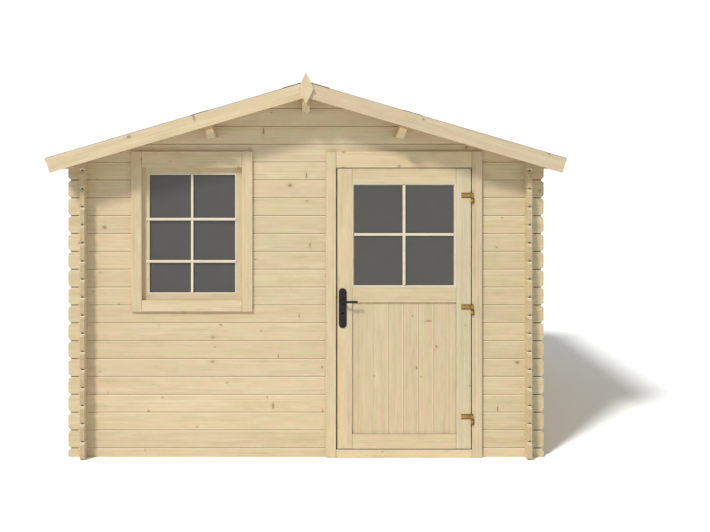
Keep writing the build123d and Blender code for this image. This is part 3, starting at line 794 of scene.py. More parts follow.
def eased_bar(low: Sequence[float], high: Sequence[float], ease: float, axis: int, steps: int = 2) -> Shape:
    """A bar between two corners, with every edge rounded.

    Each ring is a rectangle with rounded corners: the corner centres are `ease` inside the bar, and
    the points lie a radius away from them. Towards the ends that radius and the ring's own place
    follow a quarter circle, so the ends are rounded too.

    Args:
        low: The lowest corner.
        high: The highest corner.
        ease: The radius of the edges.
        axis: The number of the axis that the bar runs along.
        steps: How many faces each rounded edge has.

    Returns:
        The shape.
    """
    low, high = np.array(low, float), np.array(high, float)
    first, second = [number for number in range(3) if number != axis]
    if axis == 1:
        first, second = second, first
    turn = np.linspace(0.0, math.pi / 2, steps + 1)
    angle = (np.arange(4)[:, None] * math.pi / 2 + turn[None, :]).ravel()
    corner = np.repeat(np.arange(4), steps + 1)
    corner_x = np.where((corner == 0) | (corner == 3), high[first] - ease, low[first] + ease)
    corner_y = np.where(corner < 2, high[second] - ease, low[second] + ease)
    ends = np.linspace(0.12, 1.0, steps + 1) * math.pi / 2
    radius = np.concatenate([np.sin(ends), np.sin(ends)[::-1]]) * ease
    inset = ease * (1 - np.cos(ends))
    place = np.concatenate([low[axis] + inset, high[axis] - inset[::-1]])
    place[0], place[-1] = low[axis], high[axis]
    points = np.empty((len(place), len(angle), 3))
    points[..., axis] = place[:, None]
    points[..., first] = corner_x[None, :] + radius[:, None] * np.cos(angle)[None, :]
    points[..., second] = corner_y[None, :] + radius[:, None] * np.sin(angle)[None, :]
    columns = len(angle)
    faces = quads(len(place), columns, wrap_columns=True)[:, ::-1].tolist()
    faces.append(list(range(columns))[::-1])
    faces.append(list(range((len(place) - 1) * columns, len(place) * columns)))
    return points.reshape(-1, 3), faces


def mitred_bead(low: Sequence[float], high: Sequence[float], profile: np.ndarray) -> Shape:
    """A bead round a rectangle in the XZ plane, mitred at its four corners.

    Each point of the profile runs round the rectangle at its own distance inside it, so a corner is
    the rectangle's corner moved inwards by that distance in both directions.

    Args:
        low: The rectangle's lowest X and Z.
        high: Its highest X and Z.
        profile: Distance inside the rectangle and Y of each point, in order round the bead.

    Returns:
        The shape.
    """
    signs = np.array([(1, 1), (-1, 1), (-1, -1), (1, -1)], float)
    corners = np.array([(low[0], low[1]), (high[0], low[1]), (high[0], high[1]), (low[0], high[1])], float)
    points = np.empty((4, len(profile), 3))
    points[..., 0] = corners[:, None, 0] + signs[:, None, 0] * profile[None, :, 0]
    points[..., 2] = corners[:, None, 1] + signs[:, None, 1] * profile[None, :, 0]
    points[..., 1] = profile[None, :, 1]
    return points.reshape(-1, 3), quads(4, len(profile), wrap_rows=True, wrap_columns=True).tolist()


def on_both_sides(shapes: Sequence[Shape], pane: str) -> Shape:
    """Shapes in front of a pane, and their reflections behind it.

    Args:
        shapes: The shapes in front.
        pane: The CAD node of the pane, whose middle is the mirror.

    Returns:
        One shape.
    """
    low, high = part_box(pane)
    behind = [(points * (1.0, -1.0, 1.0) + (0.0, low.y + high.y, 0.0), [face[::-1] for face in faces])
              for points, faces in shapes]
    return joined([*shapes, *behind])


def layer_outline(line: np.ndarray, thickness: float) -> np.ndarray:
    """The section of a bent layer: its underside, then its upper side backwards.

    The upper side is the lower one moved out along its own normal.

    Args:
        line: The two coordinates of the underside's points.
        thickness: The layer's thickness.

    Returns:
        The section's points, twice as many as the line has.
    """
    step = np.gradient(line, axis=0)
    normal = np.stack([-step[:, 1], step[:, 0]], axis=1)
    normal /= np.linalg.norm(normal, axis=1)[:, None]
    return np.concatenate([line, (line + normal * thickness)[::-1]])


def layer_faces(rows: int, columns: int) -> np.ndarray:
    """The faces of a layer whose section is repeated row by row, with both ends closed.

    Args:
        rows: How many sections there are.
        columns: How many points a section has.

    Returns:
        An array of four point numbers for each face.
    """
    down = np.arange(columns // 2 - 1)
    cap = np.stack([down, down + 1, columns - 2 - down, columns - 1 - down], axis=1)
    skin = quads(rows, columns, wrap_columns=True)
    return np.concatenate([skin, cap[:, ::-1], cap + (rows - 1) * columns])


def turned_heads(places: np.ndarray, outward: Sequence[float], profile: np.ndarray,
                 sides: int = 14) -> Shape:
    """The same small turned form at many places, such as the heads of screws.

    A point is its place, plus its radius round the axis, plus its height along it.

    Args:
        places: The points on the surface.
        outward: The direction away from the surface.
        profile: Radius and height of each ring, from the surface outwards and in to the middle.
        sides: How many sides it has.

    Returns:
        The shape.
    """
    axis = np.array(outward, float) / np.linalg.norm(outward)
    aside = np.cross(axis, (0.0, 0.0, 1.0) if abs(axis[2]) < 0.9 else (1.0, 0.0, 0.0))
    aside /= np.linalg.norm(aside)
    other = np.cross(axis, aside)
    angle = np.arange(sides) * 2 * math.pi / sides
    around = np.cos(angle)[:, None] * aside + np.sin(angle)[:, None] * other
    ring = profile[:, 0, None, None] * around[None] + profile[:, 1, None, None] * axis
    places = np.asarray(places, float)
    points = places[:, None, None, :] + ring[None]
    rings = len(profile)
    one = quads(rings, sides, wrap_columns=True)
    offsets = np.arange(len(places))[:, None, None] * rings * sides
    faces = (one[None] + offsets).reshape(-1, 4).tolist()
    base = (np.arange(sides)[None, ::-1] + offsets[:, 0]).tolist()
    crown = (np.arange(sides)[None, :] + (rings - 1) * sides + offsets[:, 0]).tolist()
    return points.reshape(-1, 3), faces + base + crown


def put(name: str, data: bpy.types.ID) -> bpy.types.Object:
    """Adds an object to the scene.

    Args:
        name: Its name.
        data: Its mesh, lamp or camera.

    Returns:
        The object.
    """
    item = bpy.data.objects.new(name, data)
    bpy.context.scene.collection.objects.link(item)
    return item


def make_piece(name: str, shape: Shape, material: bpy.types.Material, body: str,
               stands_for: Sequence[str] = (), smooth: float = 0.0) -> bpy.types.Object:
    """Makes a mesh piece that rides on a body.

    Args:
        name: The piece's name.
        shape: Its points and faces.
        material: Its finish.
        body: The CAD body that it moves with.
        stands_for: CAD nodes that it takes the place of.
        smooth: The angle in degrees below which edges are shaded smooth, or 0 for flat faces.

    Returns:
        The piece.
    """
    points, faces = shape
    mesh = bpy.data.meshes.new(name)
    mesh.from_pydata(points.tolist(), [], faces)
    mesh.update()
    mesh.materials.append(material)
    if smooth:
        mesh.polygons.foreach_set("use_smooth", np.ones(len(mesh.polygons), bool))
        mesh.set_sharp_from_angle(angle=math.radians(smooth))
    piece = put(name, mesh)
    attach(piece, body)
    if stands_for:
        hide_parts(*stands_for)
    log.info("%s: %d faces on %s, for %s", name, len(faces), body, ", ".join(stands_for) or "no CAD node")
    return piece


def dress(node: str, material: bpy.types.Material) -> None:
    """Gives a CAD node its finish.

    Args:
        node: The node's name.
        material: The finish.
    """
    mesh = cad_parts[node].data
    mesh.materials.clear()
    mesh.materials.append(material)
    log.info("%s: %s", node, material.name)


def middle_of(node: str) -> tuple[float, float, float]:
    """The centre of a CAD node's box."""
    low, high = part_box(node)
    return tuple((low[number] + high[number]) / 2 for number in range(3))


def rim_of(node: str, grain: Grain) -> tuple[float, float]:
    """Half the size of a timber's face.

    Args:
        node: Its CAD node.
        grain: The way its fibres run.

    Returns:
        Half its length and half its breadth.
    """
    low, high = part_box(node)
    along, across, _ = grain.value
    return ((high[along] - low[along]) / 2, (high[across] - low[across]) / 2)


SCREW_HEAD = np.array([(0.0042, -0.0004), (0.0042, 0.0003), (0.0036, 0.0009), (0.0022, 0.0012),
                       (0.0019, 0.0012), (0.0016, 0.0004), (0.0002, 0.0004)])
CLOUT_HEAD = np.array([(0.0052, -0.0003), (0.0052, 0.0006), (0.0044, 0.0011), (0.0004, 0.0013)])


@dataclass
class LogWalls:
    """The four walls and two gables of interlocking logs.

    Attributes:
        half_log: How much lower the logs of the front and back lie than those of the sides.
        corner: How far from the middle the logs of two walls cross.
        groove: Half the breadth of the open groove in the side logs' ends, whose hollow gets painted shade.
        level_nodes: The walls whose logs run from left to right.
        lengthwise_nodes: The walls whose logs run from front to back.
        tints: What some walls' colour is multiplied by: a little darker on the middle and right of the front
            and on the side walls, and paler and cooler on the front gable, which paints a paler, cooler
            light into the roof's shade there.
    """

    half_log: float = LOG_PITCH / 2
    corner: float = 1.425
    groove: float = 0.006
    level_nodes: tuple[str, ...] = ("front_wall_under_window", "front_wall_left", "front_wall_middle",
                                    "front_wall_right", "front_gable", "back_gable", "back_wall")
    lengthwise_nodes: tuple[str, ...] = ("left_wall", "right_wall")
    tints: dict[str, Colour] = field(default_factory=lambda: {
        "front_wall_middle": (0.97, 0.98, 1.0), "front_wall_right": (0.94, 0.955, 0.96),
        # The front gable's tint is painted light: it makes the gable's shade paler and cooler.
        "front_gable": (1.03, 1.06, 1.09),
        "left_wall": (0.91, 0.945, 1.0), "right_wall": (0.94, 0.975, 1.03),
    })

    def build(self) -> None:
        """Dresses every log, with its own rings and tone."""
        for number, node in enumerate(self.level_nodes):
            dress(node, Spruce(f"spruce_{node}", Grain.LEVEL, middle_of(node), 11 + number, LOG_PITCH,
                               -self.half_log, corner=self.corner,
                               tint=self.tints.get(node, PLAIN)).material())
        for number, node in enumerate(self.lengthwise_nodes):
            dress(node, Spruce(f"spruce_{node}", Grain.LENGTHWISE, middle_of(node), 31 + number, LOG_PITCH,
                               groove=self.groove, tint=self.tints[node]).material())


@dataclass
class Roof:
    """Purlins, deck boards, felt, barge boards, eave boards and finials.

    Places on a slope are given by the run down it from the ridge and the rise above the deck's
    underside, square to it.

    Attributes:
        deck_thickness: The thickness of the deck's boards.
        board_pitch: About how broad they are.
        board_joint, board_gap: The bevel at their joints and the gap there.
        felt_layer: The height that the CAD model gives the felt.
        felt_thickness: The thickness of one strip.
        felt_drip: How far it hangs down at the eave.
        felt_lift, felt_gap: How far it lies above the deck, and a strip above the one under it.
        strip_width, strip_lap: The breadth of a strip and how far the upper one covers the lower.
        strip_waves: The height of the waves in the lower and the upper strip.
        ridge_cap, ridge_round: Half the breadth of the cap over the ridge, and how round its fold is.
        nail_spacing: The distance between nails.
        nail_inset, edge_inset: How far the nails are from the eave and from the gables.
        lap_inset, cap_inset: How far they are from the edges of the upper strip and of the cap.
        screw_runs, screw_drop: Where the barge boards' screws are, as runs and drops below the deck.
        finial_screws: The share of a finial's height at which its screws are.
        screw_size: The size of these screws, as a share of the others'.
        barge_tints: The tone of the barge boards of each slope.
    """

    deck_thickness: float = 0.018
    board_pitch: float = 0.096
    board_joint: float = 0.003
    board_gap: float = 0.0005
    felt_layer: float = 0.003
    felt_thickness: float = 0.0014
    felt_drip: float = 0.022
    felt_lift: float = 0.0003
    felt_gap: float = 0.0005
    strip_width: float = 1.0
    strip_lap: float = 0.08
    strip_waves: tuple[float, float] = (0.0002, 0.0004)
    ridge_cap: float = 0.15
    ridge_round: float = 0.006
    nail_spacing: float = 0.10
    nail_inset: float = 0.03
    edge_inset: float = 0.018
    lap_inset: float = 0.02
    cap_inset: float = 0.025
    screw_runs: tuple[float, ...] = (0.10, 0.64, 1.12, 1.56)
    screw_drop: tuple[float, ...] = (0.004, 0.058)
    finial_screws: tuple[float, ...] = (0.40, 0.66)
    screw_size: float = 0.4
    barge_tints: dict[Side, Colour] = field(default_factory=lambda: {
        Side.LEFT: (1.06, 1.06, 1.06), Side.RIGHT: (0.90, 0.895, 0.925),
    })

    def __post_init__(self) -> None:
        """Reads the roof's places from the frame."""
        low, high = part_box("roof_deck_right")
        self.deck_front, self.deck_back = low.y, high.y
        self.apex = high.z - self.deck_thickness / COS_SLOPE
        felt_low, felt_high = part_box("roofing_felt_right")
        self.felt_front, self.felt_back = felt_low.y, felt_high.y
        self.deck_run = (high.x - self.deck_thickness * SIN_SLOPE) / COS_SLOPE
        rise = self.deck_thickness + self.felt_lift + self.felt_layer
        self.felt_run = (felt_high.x - rise * SIN_SLOPE) / COS_SLOPE - self.felt_layer

    def point(self, run: np.ndarray, rise: np.ndarray, side: Side) -> tuple[np.ndarray, np.ndarray]:
        """Where points of a slope are.

        Args:
            run: How far down the slope they are.
            rise: How far above the deck's underside.
            side: The slope.

        Returns:
            Their X and Z.
        """
        run, rise = np.asarray(run, float), np.asarray(rise, float)
        x = side.value * (run * COS_SLOPE + rise * SIN_SLOPE)
        z = self.apex - run * SIN_SLOPE + rise * COS_SLOPE
        return x, z

    def outward(self, side: Side) -> tuple[float, float, float]:
        """The direction square to a slope."""
        return (side.value * SIN_SLOPE, 0.0, COS_SLOPE)

    def build(self) -> None:
        """Dresses the timbers and lays the boards and the felt."""
        self._dress_timbers()
        for side in Side:
            self._lay_boards(side)
            self._lay_felt(side)
        self._cap_ridge()
        self._fix_barge_boards()

    def _dress_timbers(self) -> None:
        """Runs the grain of each timber along it."""
        for number, node in enumerate(("ridge_purlin", "left_purlin", "right_purlin",
                                       "left_eave_board", "right_eave_board")):
            dress(node, Spruce(f"spruce_{node}", Grain.LENGTHWISE, middle_of(node), 51 + number).material())
        for number, front in enumerate(("front", "back")):
            for side in Side:
                node = f"{front}_fascia_{side.hand}"
                seed = 61 + 2 * number + side.value
                dress(node, Spruce(f"spruce_{node}", Grain.LEVEL, middle_of(node), seed,
                                   tilt=-side.value * ROOF_SLOPE,
                                   tint=self.barge_tints[side]).material())
            node = f"{front}_finial"
            dress(node, Spruce(f"spruce_{node}", Grain.UPRIGHT, middle_of(node), 71 + number,
                               knots=0.0).material())

    def _lay_boards(self, side: Side) -> None:
        """Lays the deck's boards from ridge to eave, with V-joints underneath.

        Each board is its section carried along the slope. The upper end is cut upright at the ridge,
        so its run depends on the rise, and the lower end is square.

        Args:
            side: The slope.
        """
        count = round((self.deck_back - self.deck_front) / self.board_pitch)
        pitch = (self.deck_back - self.deck_front) / count
        width, joint = pitch - self.board_gap, self.board_joint
        section = np.array([(0.0, joint), (joint, 0.0), (width - joint, 0.0), (width, joint),
                            (width, self.deck_thickness), (0.0, self.deck_thickness)])
        corners = len(section)
        start = self.deck_front + np.arange(count) * pitch + self.board_gap / 2
        ridge = (self.board_gap / 2 - section[:, 1] * SIN_SLOPE) / COS_SLOPE
        run = np.stack([ridge, np.full(corners, self.deck_run)])
        x, z = self.point(run, section[None, :, 1], side)
        points = np.empty((count, 2, corners, 3))
        points[..., 0] = x[None]
        points[..., 1] = start[:, None, None] + section[None, None, :, 0]
        points[..., 2] = z[None]
        faces = quads(2, corners, wrap_columns=True).tolist()
        faces += [list(range(corners))[::-1], list(range(corners, 2 * corners))]
        if side is Side.RIGHT:
            faces = [face[::-1] for face in faces]
        node = f"roof_deck_{side.hand}"
        finish = Spruce(f"spruce_{node}", Grain.UP_SLOPE, middle_of(node), 81 + side.value, pitch,
                        self.deck_front, -side.value * ROOF_SLOPE)
        make_piece(f"deck_boards_{side.hand}", joined([(board.reshape(-1, 3), faces) for board in points]),
                   finish.material(), "shed", [node])

    def _strip(self, line: np.ndarray, side: Side, wave: float) -> Shape:
        """One strip of felt: a section down the slope, repeated from gable to gable.

        A few slow waves, which are products of sines, lift it as felt lies on boards.

        Args:
            line: Run and rise of the strip's underside, from its upper edge down.
            side: The slope.
            wave: The height of the waves.

        Returns:
            The shape.
        """
        outline = layer_outline(line, self.felt_thickness)
        run, rise = outline[None, :, 0], outline[None, :, 1]
        y = np.linspace(self.felt_front, self.felt_back, 67)[:, None]
        lift = wave * (1 + np.sin(y * 5.3 + run * 3.1) * np.sin(run * 9.7 + y * 1.7)) / 2
        x, z = self.point(run + 0 * lift, rise + lift, side)
        points = np.stack([x, np.broadcast_to(y, x.shape), z], axis=2)
        faces = layer_faces(*points.shape[:2])
        if side is Side.LEFT:
            faces = faces[:, ::-1]
        return points.reshape(-1, 3), faces.tolist()

    def _lay_felt(self, side: Side) -> None:
        """Lays two strips of felt, the upper lapping the lower, and turns the lower down at the eave.

        Args:
            side: The slope.
        """
        rise = self.deck_thickness + self.felt_lift
        over = self.felt_thickness + self.felt_gap
        lap_start = self.felt_run - self.strip_width
        lap_end = lap_start + self.strip_lap
        lower = np.concatenate([
            np.stack([np.linspace(lap_start, self.felt_run - 0.004, 26), np.full(26, rise)], axis=1),
            np.array([(self.felt_run - 0.001, rise - 0.0012), (self.felt_run, rise - 0.005),
                      (self.felt_run, rise - self.felt_drip)]),
        ])
        ridge = (0.0006 - rise * SIN_SLOPE) / COS_SLOPE
        climb = (lap_start - 0.05, lap_start - 0.01)
        run = np.concatenate([np.linspace(ridge, climb[0], 16), np.linspace(climb[0] + 0.01, lap_end, 10)])
        share = np.clip((run - climb[0]) / (climb[1] - climb[0]), 0.0, 1.0)
        upper = np.stack([run, rise + share ** 2 * (3 - 2 * share) * over], axis=1)
        strips = [self._strip(line, side, wave) for line, wave in zip((lower, upper), self.strip_waves)]
        make_piece(f"felt_strips_{side.hand}", joined(strips), shared(Felt()), "shed",
                   [f"roofing_felt_{side.hand}"], smooth=40)
        self._nail_felt(side, lap_start, lap_end)

    def _nail_felt(self, side: Side, lap_start: float, lap_end: float) -> None:
        """Nails the felt along the lap, along both gables and along the eave.

        Args:
            side: The slope.
            lap_start: The run where the upper strip starts to lap the lower one.
            lap_end: The run of the upper strip's edge.
        """
        over = self.felt_thickness + self.felt_gap
        edge_rise = self.deck_thickness + self.felt_lift + self.felt_thickness + PLAY
        lap_rise = edge_rise - PLAY + over
        rows = [self._nail_row(lap_end - self.lap_inset, lap_rise, side)]
        runs = np.arange(0.22, self.felt_run - 0.05, self.nail_spacing)
        on_lap = np.abs(runs - (lap_start + lap_end) / 2) < self.strip_lap / 2 + 0.012
        for y in (self.felt_front + self.edge_inset, self.felt_back - self.edge_inset):
            x, z = self.point(runs, edge_rise + np.where(on_lap, over, 0.0), side)
            rows.append(np.stack([x, np.full(len(x), y), z], axis=1))
        rows.append(self._nail_row(self.felt_run - self.nail_inset, edge_rise, side))
        self._drive_nails(f"felt_nails_{side.hand}", np.concatenate(rows), side)

    def _nail_row(self, run: float, rise: float, side: Side) -> np.ndarray:
        """A row of nails from gable to gable.

        Args:
            run: How far down the slope the row is.
            rise: Its height above the deck's underside.
            side: The slope.

        Returns:
            The places.
        """
        y = np.arange(self.felt_front + 0.07, self.felt_back - 0.05, self.nail_spacing)
        x, z = self.point(np.full(len(y), run), np.full(len(y), rise), side)
        return np.stack([x, y, z], axis=1)

    def _drive_nails(self, name: str, places: np.ndarray, side: Side) -> None:
        """Makes the heads of a slope's nails.

        Args:
            name: The piece's name.
            places: Where the heads lie.
            side: The slope.
        """
        make_piece(name, turned_heads(places, self.outward(side), CLOUT_HEAD, 10), shared(ZINC), "shed",
                   smooth=35)

    def _cap_ridge(self) -> None:
        """Folds one strip of felt over the ridge, on top of both slopes.

        Its fold is a hyperbola, which rounds the ridge and soon follows the slopes.
        """
        rise = self.deck_thickness + self.felt_lift + self.felt_thickness + self.felt_gap
        offsets = np.array([-1.0, -0.8, -0.5, -0.2, -0.05, 0.0, 0.05, 0.2, 0.5, 0.8, 1.0]) * self.ridge_cap
        drop = np.sqrt(offsets ** 2 + self.ridge_round ** 2) - self.ridge_round
        under = np.stack([offsets * COS_SLOPE, self.apex + rise / COS_SLOPE - drop * SIN_SLOPE], axis=1)
        outline = layer_outline(under, self.felt_thickness)
        y = np.linspace(self.felt_front, self.felt_back, 40)
        points = np.empty((len(y), len(outline), 3))
        points[..., 0] = outline[None, :, 0]
        points[..., 1] = y[:, None]
        points[..., 2] = outline[None, :, 1]
        shape = (points.reshape(-1, 3), layer_faces(*points.shape[:2]).tolist())
        make_piece("felt_ridge_cap", shape, shared(Felt()), "shed", smooth=40)
        nail_rise = rise + self.felt_thickness + TOUCH
        for side in Side:
            places = self._nail_row(self.ridge_cap - self.cap_inset, nail_rise, side)
            self._drive_nails(f"ridge_nails_{side.hand}", places, side)

    def _fix_barge_boards(self) -> None:
        """Puts pairs of screws through the barge boards and the finials."""
        for front, outward in (("front", -1.0), ("back", 1.0)):
            places = []
            for node in (f"{front}_fascia_right", f"{front}_finial"):
                low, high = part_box(node)
                face = low.y if outward < 0 else high.y
                if node.endswith("finial"):
                    places += [(0.0, face, low.z + (high.z - low.z) * share) for share in self.finial_screws]
                    continue
                for side in Side:
                    for run in self.screw_runs:
                        for drop in self.screw_drop:
                            x, z = self.point(run, -drop, side)
                            places.append((float(x), face, float(z)))
            make_piece(f"{front}_barge_screws",
                       turned_heads(np.array(places), (0.0, outward, 0.0), SCREW_HEAD * self.screw_size),
                       shared(DULL_ZINC), "shed", smooth=35)


BRASS = Metal("yellow_zinc", (0.39, 0.262, 0.078), (0.275, 0.165, 0.046), 0.75, 0.42)
ZINC = Metal("grey_zinc", (0.34, 0.34, 0.35), (0.22, 0.22, 0.23), 0.8, 0.42)
DULL_ZINC = Metal("dull_zinc", (0.56, 0.46, 0.31), (0.44, 0.35, 0.22), 0.3, 0.55)
DARK_COAT = Metal("dark_coat", (0.012, 0.0105, 0.012), (0.006, 0.005, 0.006), 0.0, 0.55, 90.0, 0.3)


def shared(finish: Any) -> bpy.types.Material:
    """The material of a finish that several pieces share, built on its first use.

    Args:
        finish: The finish.

    Returns:
        The material.
    """
    return bpy.data.materials.get(finish.name) or finish.material()


@dataclass
class Window:
    """The window's frame, sash, pane and glazing bars.

    Attributes:
        sash_width: The breadth of the sash's timbers.
        bar_x: Where the upright bar stands.
        bar_levels: The heights of the two cross bars.
        bar_width, rail_width: The breadths of the upright bar and the cross bars.
        bar_proud, rail_proud: How far they stand out from the sash.
        rail_laps: How far the cross bars run over the sash at the left and at the right.
        bead_width, bead_proud: The breadth and height of the bead round the pane.
        ease: The rounding of the bars' edges.
        web_inset: How much narrower a cross bar is inside the opening, and its rounding there.
        sash_tint, rail_tint, bead_tint: The tones of the sash, the cross bars and the bead.
    """

    sash_width: float = 0.044
    bar_x: float = -0.715
    bar_levels: tuple[float, ...] = (1.2250, 1.4900)
    bar_width: float = 0.0145
    rail_width: float = 0.0165
    bar_proud: float = 0.006
    rail_proud: float = 0.009
    rail_laps: tuple[float, float] = (0.021, 0.005)
    bead_width: float = 0.0055
    bead_proud: float = 0.0010
    ease: float = 0.002
    web_inset: float = 0.001
    sash_tint: Colour = (0.93, 0.94, 0.97)
    rail_tint: Colour = (0.92, 0.87, 0.925)
    bead_tint: Colour = (0.97, 0.95, 0.96)

    def __post_init__(self) -> None:
        """Reads the sash's opening from the frame."""
        low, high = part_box("window_sash")
        self.face = low.y
        self.left, self.right = low.x + self.sash_width, high.x - self.sash_width
        self.foot, self.top = low.z + self.sash_width, high.z - self.sash_width
        self.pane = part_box("window_glass")[0].y - TOUCH

    def build(self) -> None:
        """Dresses the frame and the sash, and sets the bars on the pane."""
        for number, node in enumerate(("window_frame_left", "window_frame_right")):
            dress(node, Spruce(f"spruce_{node}", Grain.UPRIGHT, middle_of(node), 91 + number).material())
        for number, node in enumerate(("window_frame_head", "window_frame_sill")):
            dress(node, Spruce(f"spruce_{node}", Grain.LEVEL, middle_of(node), 94 + number,
                               rim=rim_of(node, Grain.LEVEL)).material())
        middle = middle_of("window_sash")
        stiles = (middle[0], self.right - middle[0])
        dress("window_sash", Spruce("spruce_window_sash", Grain.LEVEL, middle, 97, knots=0.15, stiles=stiles,
                                    tint=self.sash_tint).material())
        dress("window_glass", shared(Pane()))
        self._set_upright_bar()
        self._set_cross_bars()
        self._set_bead()

    def _set_upright_bar(self) -> None:
        """Stands a bar in each gap between the foot, the cross bars and the top."""
        half, half_rail = self.bar_width / 2, self.rail_width / 2
        feet = (self.foot, *(level + half_rail for level in self.bar_levels))
        tops = (*(level - half_rail for level in self.bar_levels), self.top)
        bars = [eased_bar((self.bar_x - half, self.face - self.bar_proud, foot + TOUCH),
                          (self.bar_x + half, self.pane, top - TOUCH), self.ease, 2)
                for foot, top in zip(feet, tops)]
        middle = (self.bar_x, self.face, (self.foot + self.top) / 2)
        finish = ClearSpruce("spruce_window_bar", Grain.UPRIGHT, middle, 98)
        make_piece("window_upright_bar", on_both_sides(bars, "window_glass"), finish.material(),
                   "shed")

    def _set_cross_bars(self) -> None:
        """Runs each cross bar over the edges of the sash, with a web that reaches the pane."""
        half, inset = self.rail_width / 2, self.web_inset
        laps = [eased_bar((self.left - self.rail_laps[0], self.face - self.rail_proud, level - half),
                          (self.right + self.rail_laps[1], self.face - TOUCH, level + half), self.ease, 0)
                for level in self.bar_levels]
        webs = [eased_bar((self.left + PLAY, self.face, level - half + inset),
                          (self.right - PLAY, self.pane, level + half - inset), inset, 0)
                for level in self.bar_levels]
        middle = (self.bar_x, self.face, self.bar_levels[0])
        finish = ClearSpruce("spruce_window_rails", Grain.LEVEL, middle, 99, tint=self.rail_tint)
        make_piece("window_cross_bars", joined([*laps, on_both_sides(webs, "window_glass")]),
                   finish.material(), "shed")

    def _set_bead(self) -> None:
        """Lays a low bead on the sash along its opening, with a foot that turns in towards the pane."""
        width, crown, base = self.bead_width, self.face - self.bead_proud, self.face + 0.0005
        section = np.array([(-width, base), (-width, self.face - 0.0004), (0.0008 - width, crown),
                            (-0.0008, crown), (0.0012, base), (0.0012, self.face + 0.0030),
                            (TOUCH, self.face + 0.0030)])
        finish = ClearSpruce("spruce_window_bead", Grain.LEVEL, (self.bar_x, self.face, self.foot), 101,
                             tint=self.bead_tint)
        make_piece("window_pane_bead", mitred_bead((self.left, self.foot), (self.right, self.top), section),
                   finish.material(), "shed")


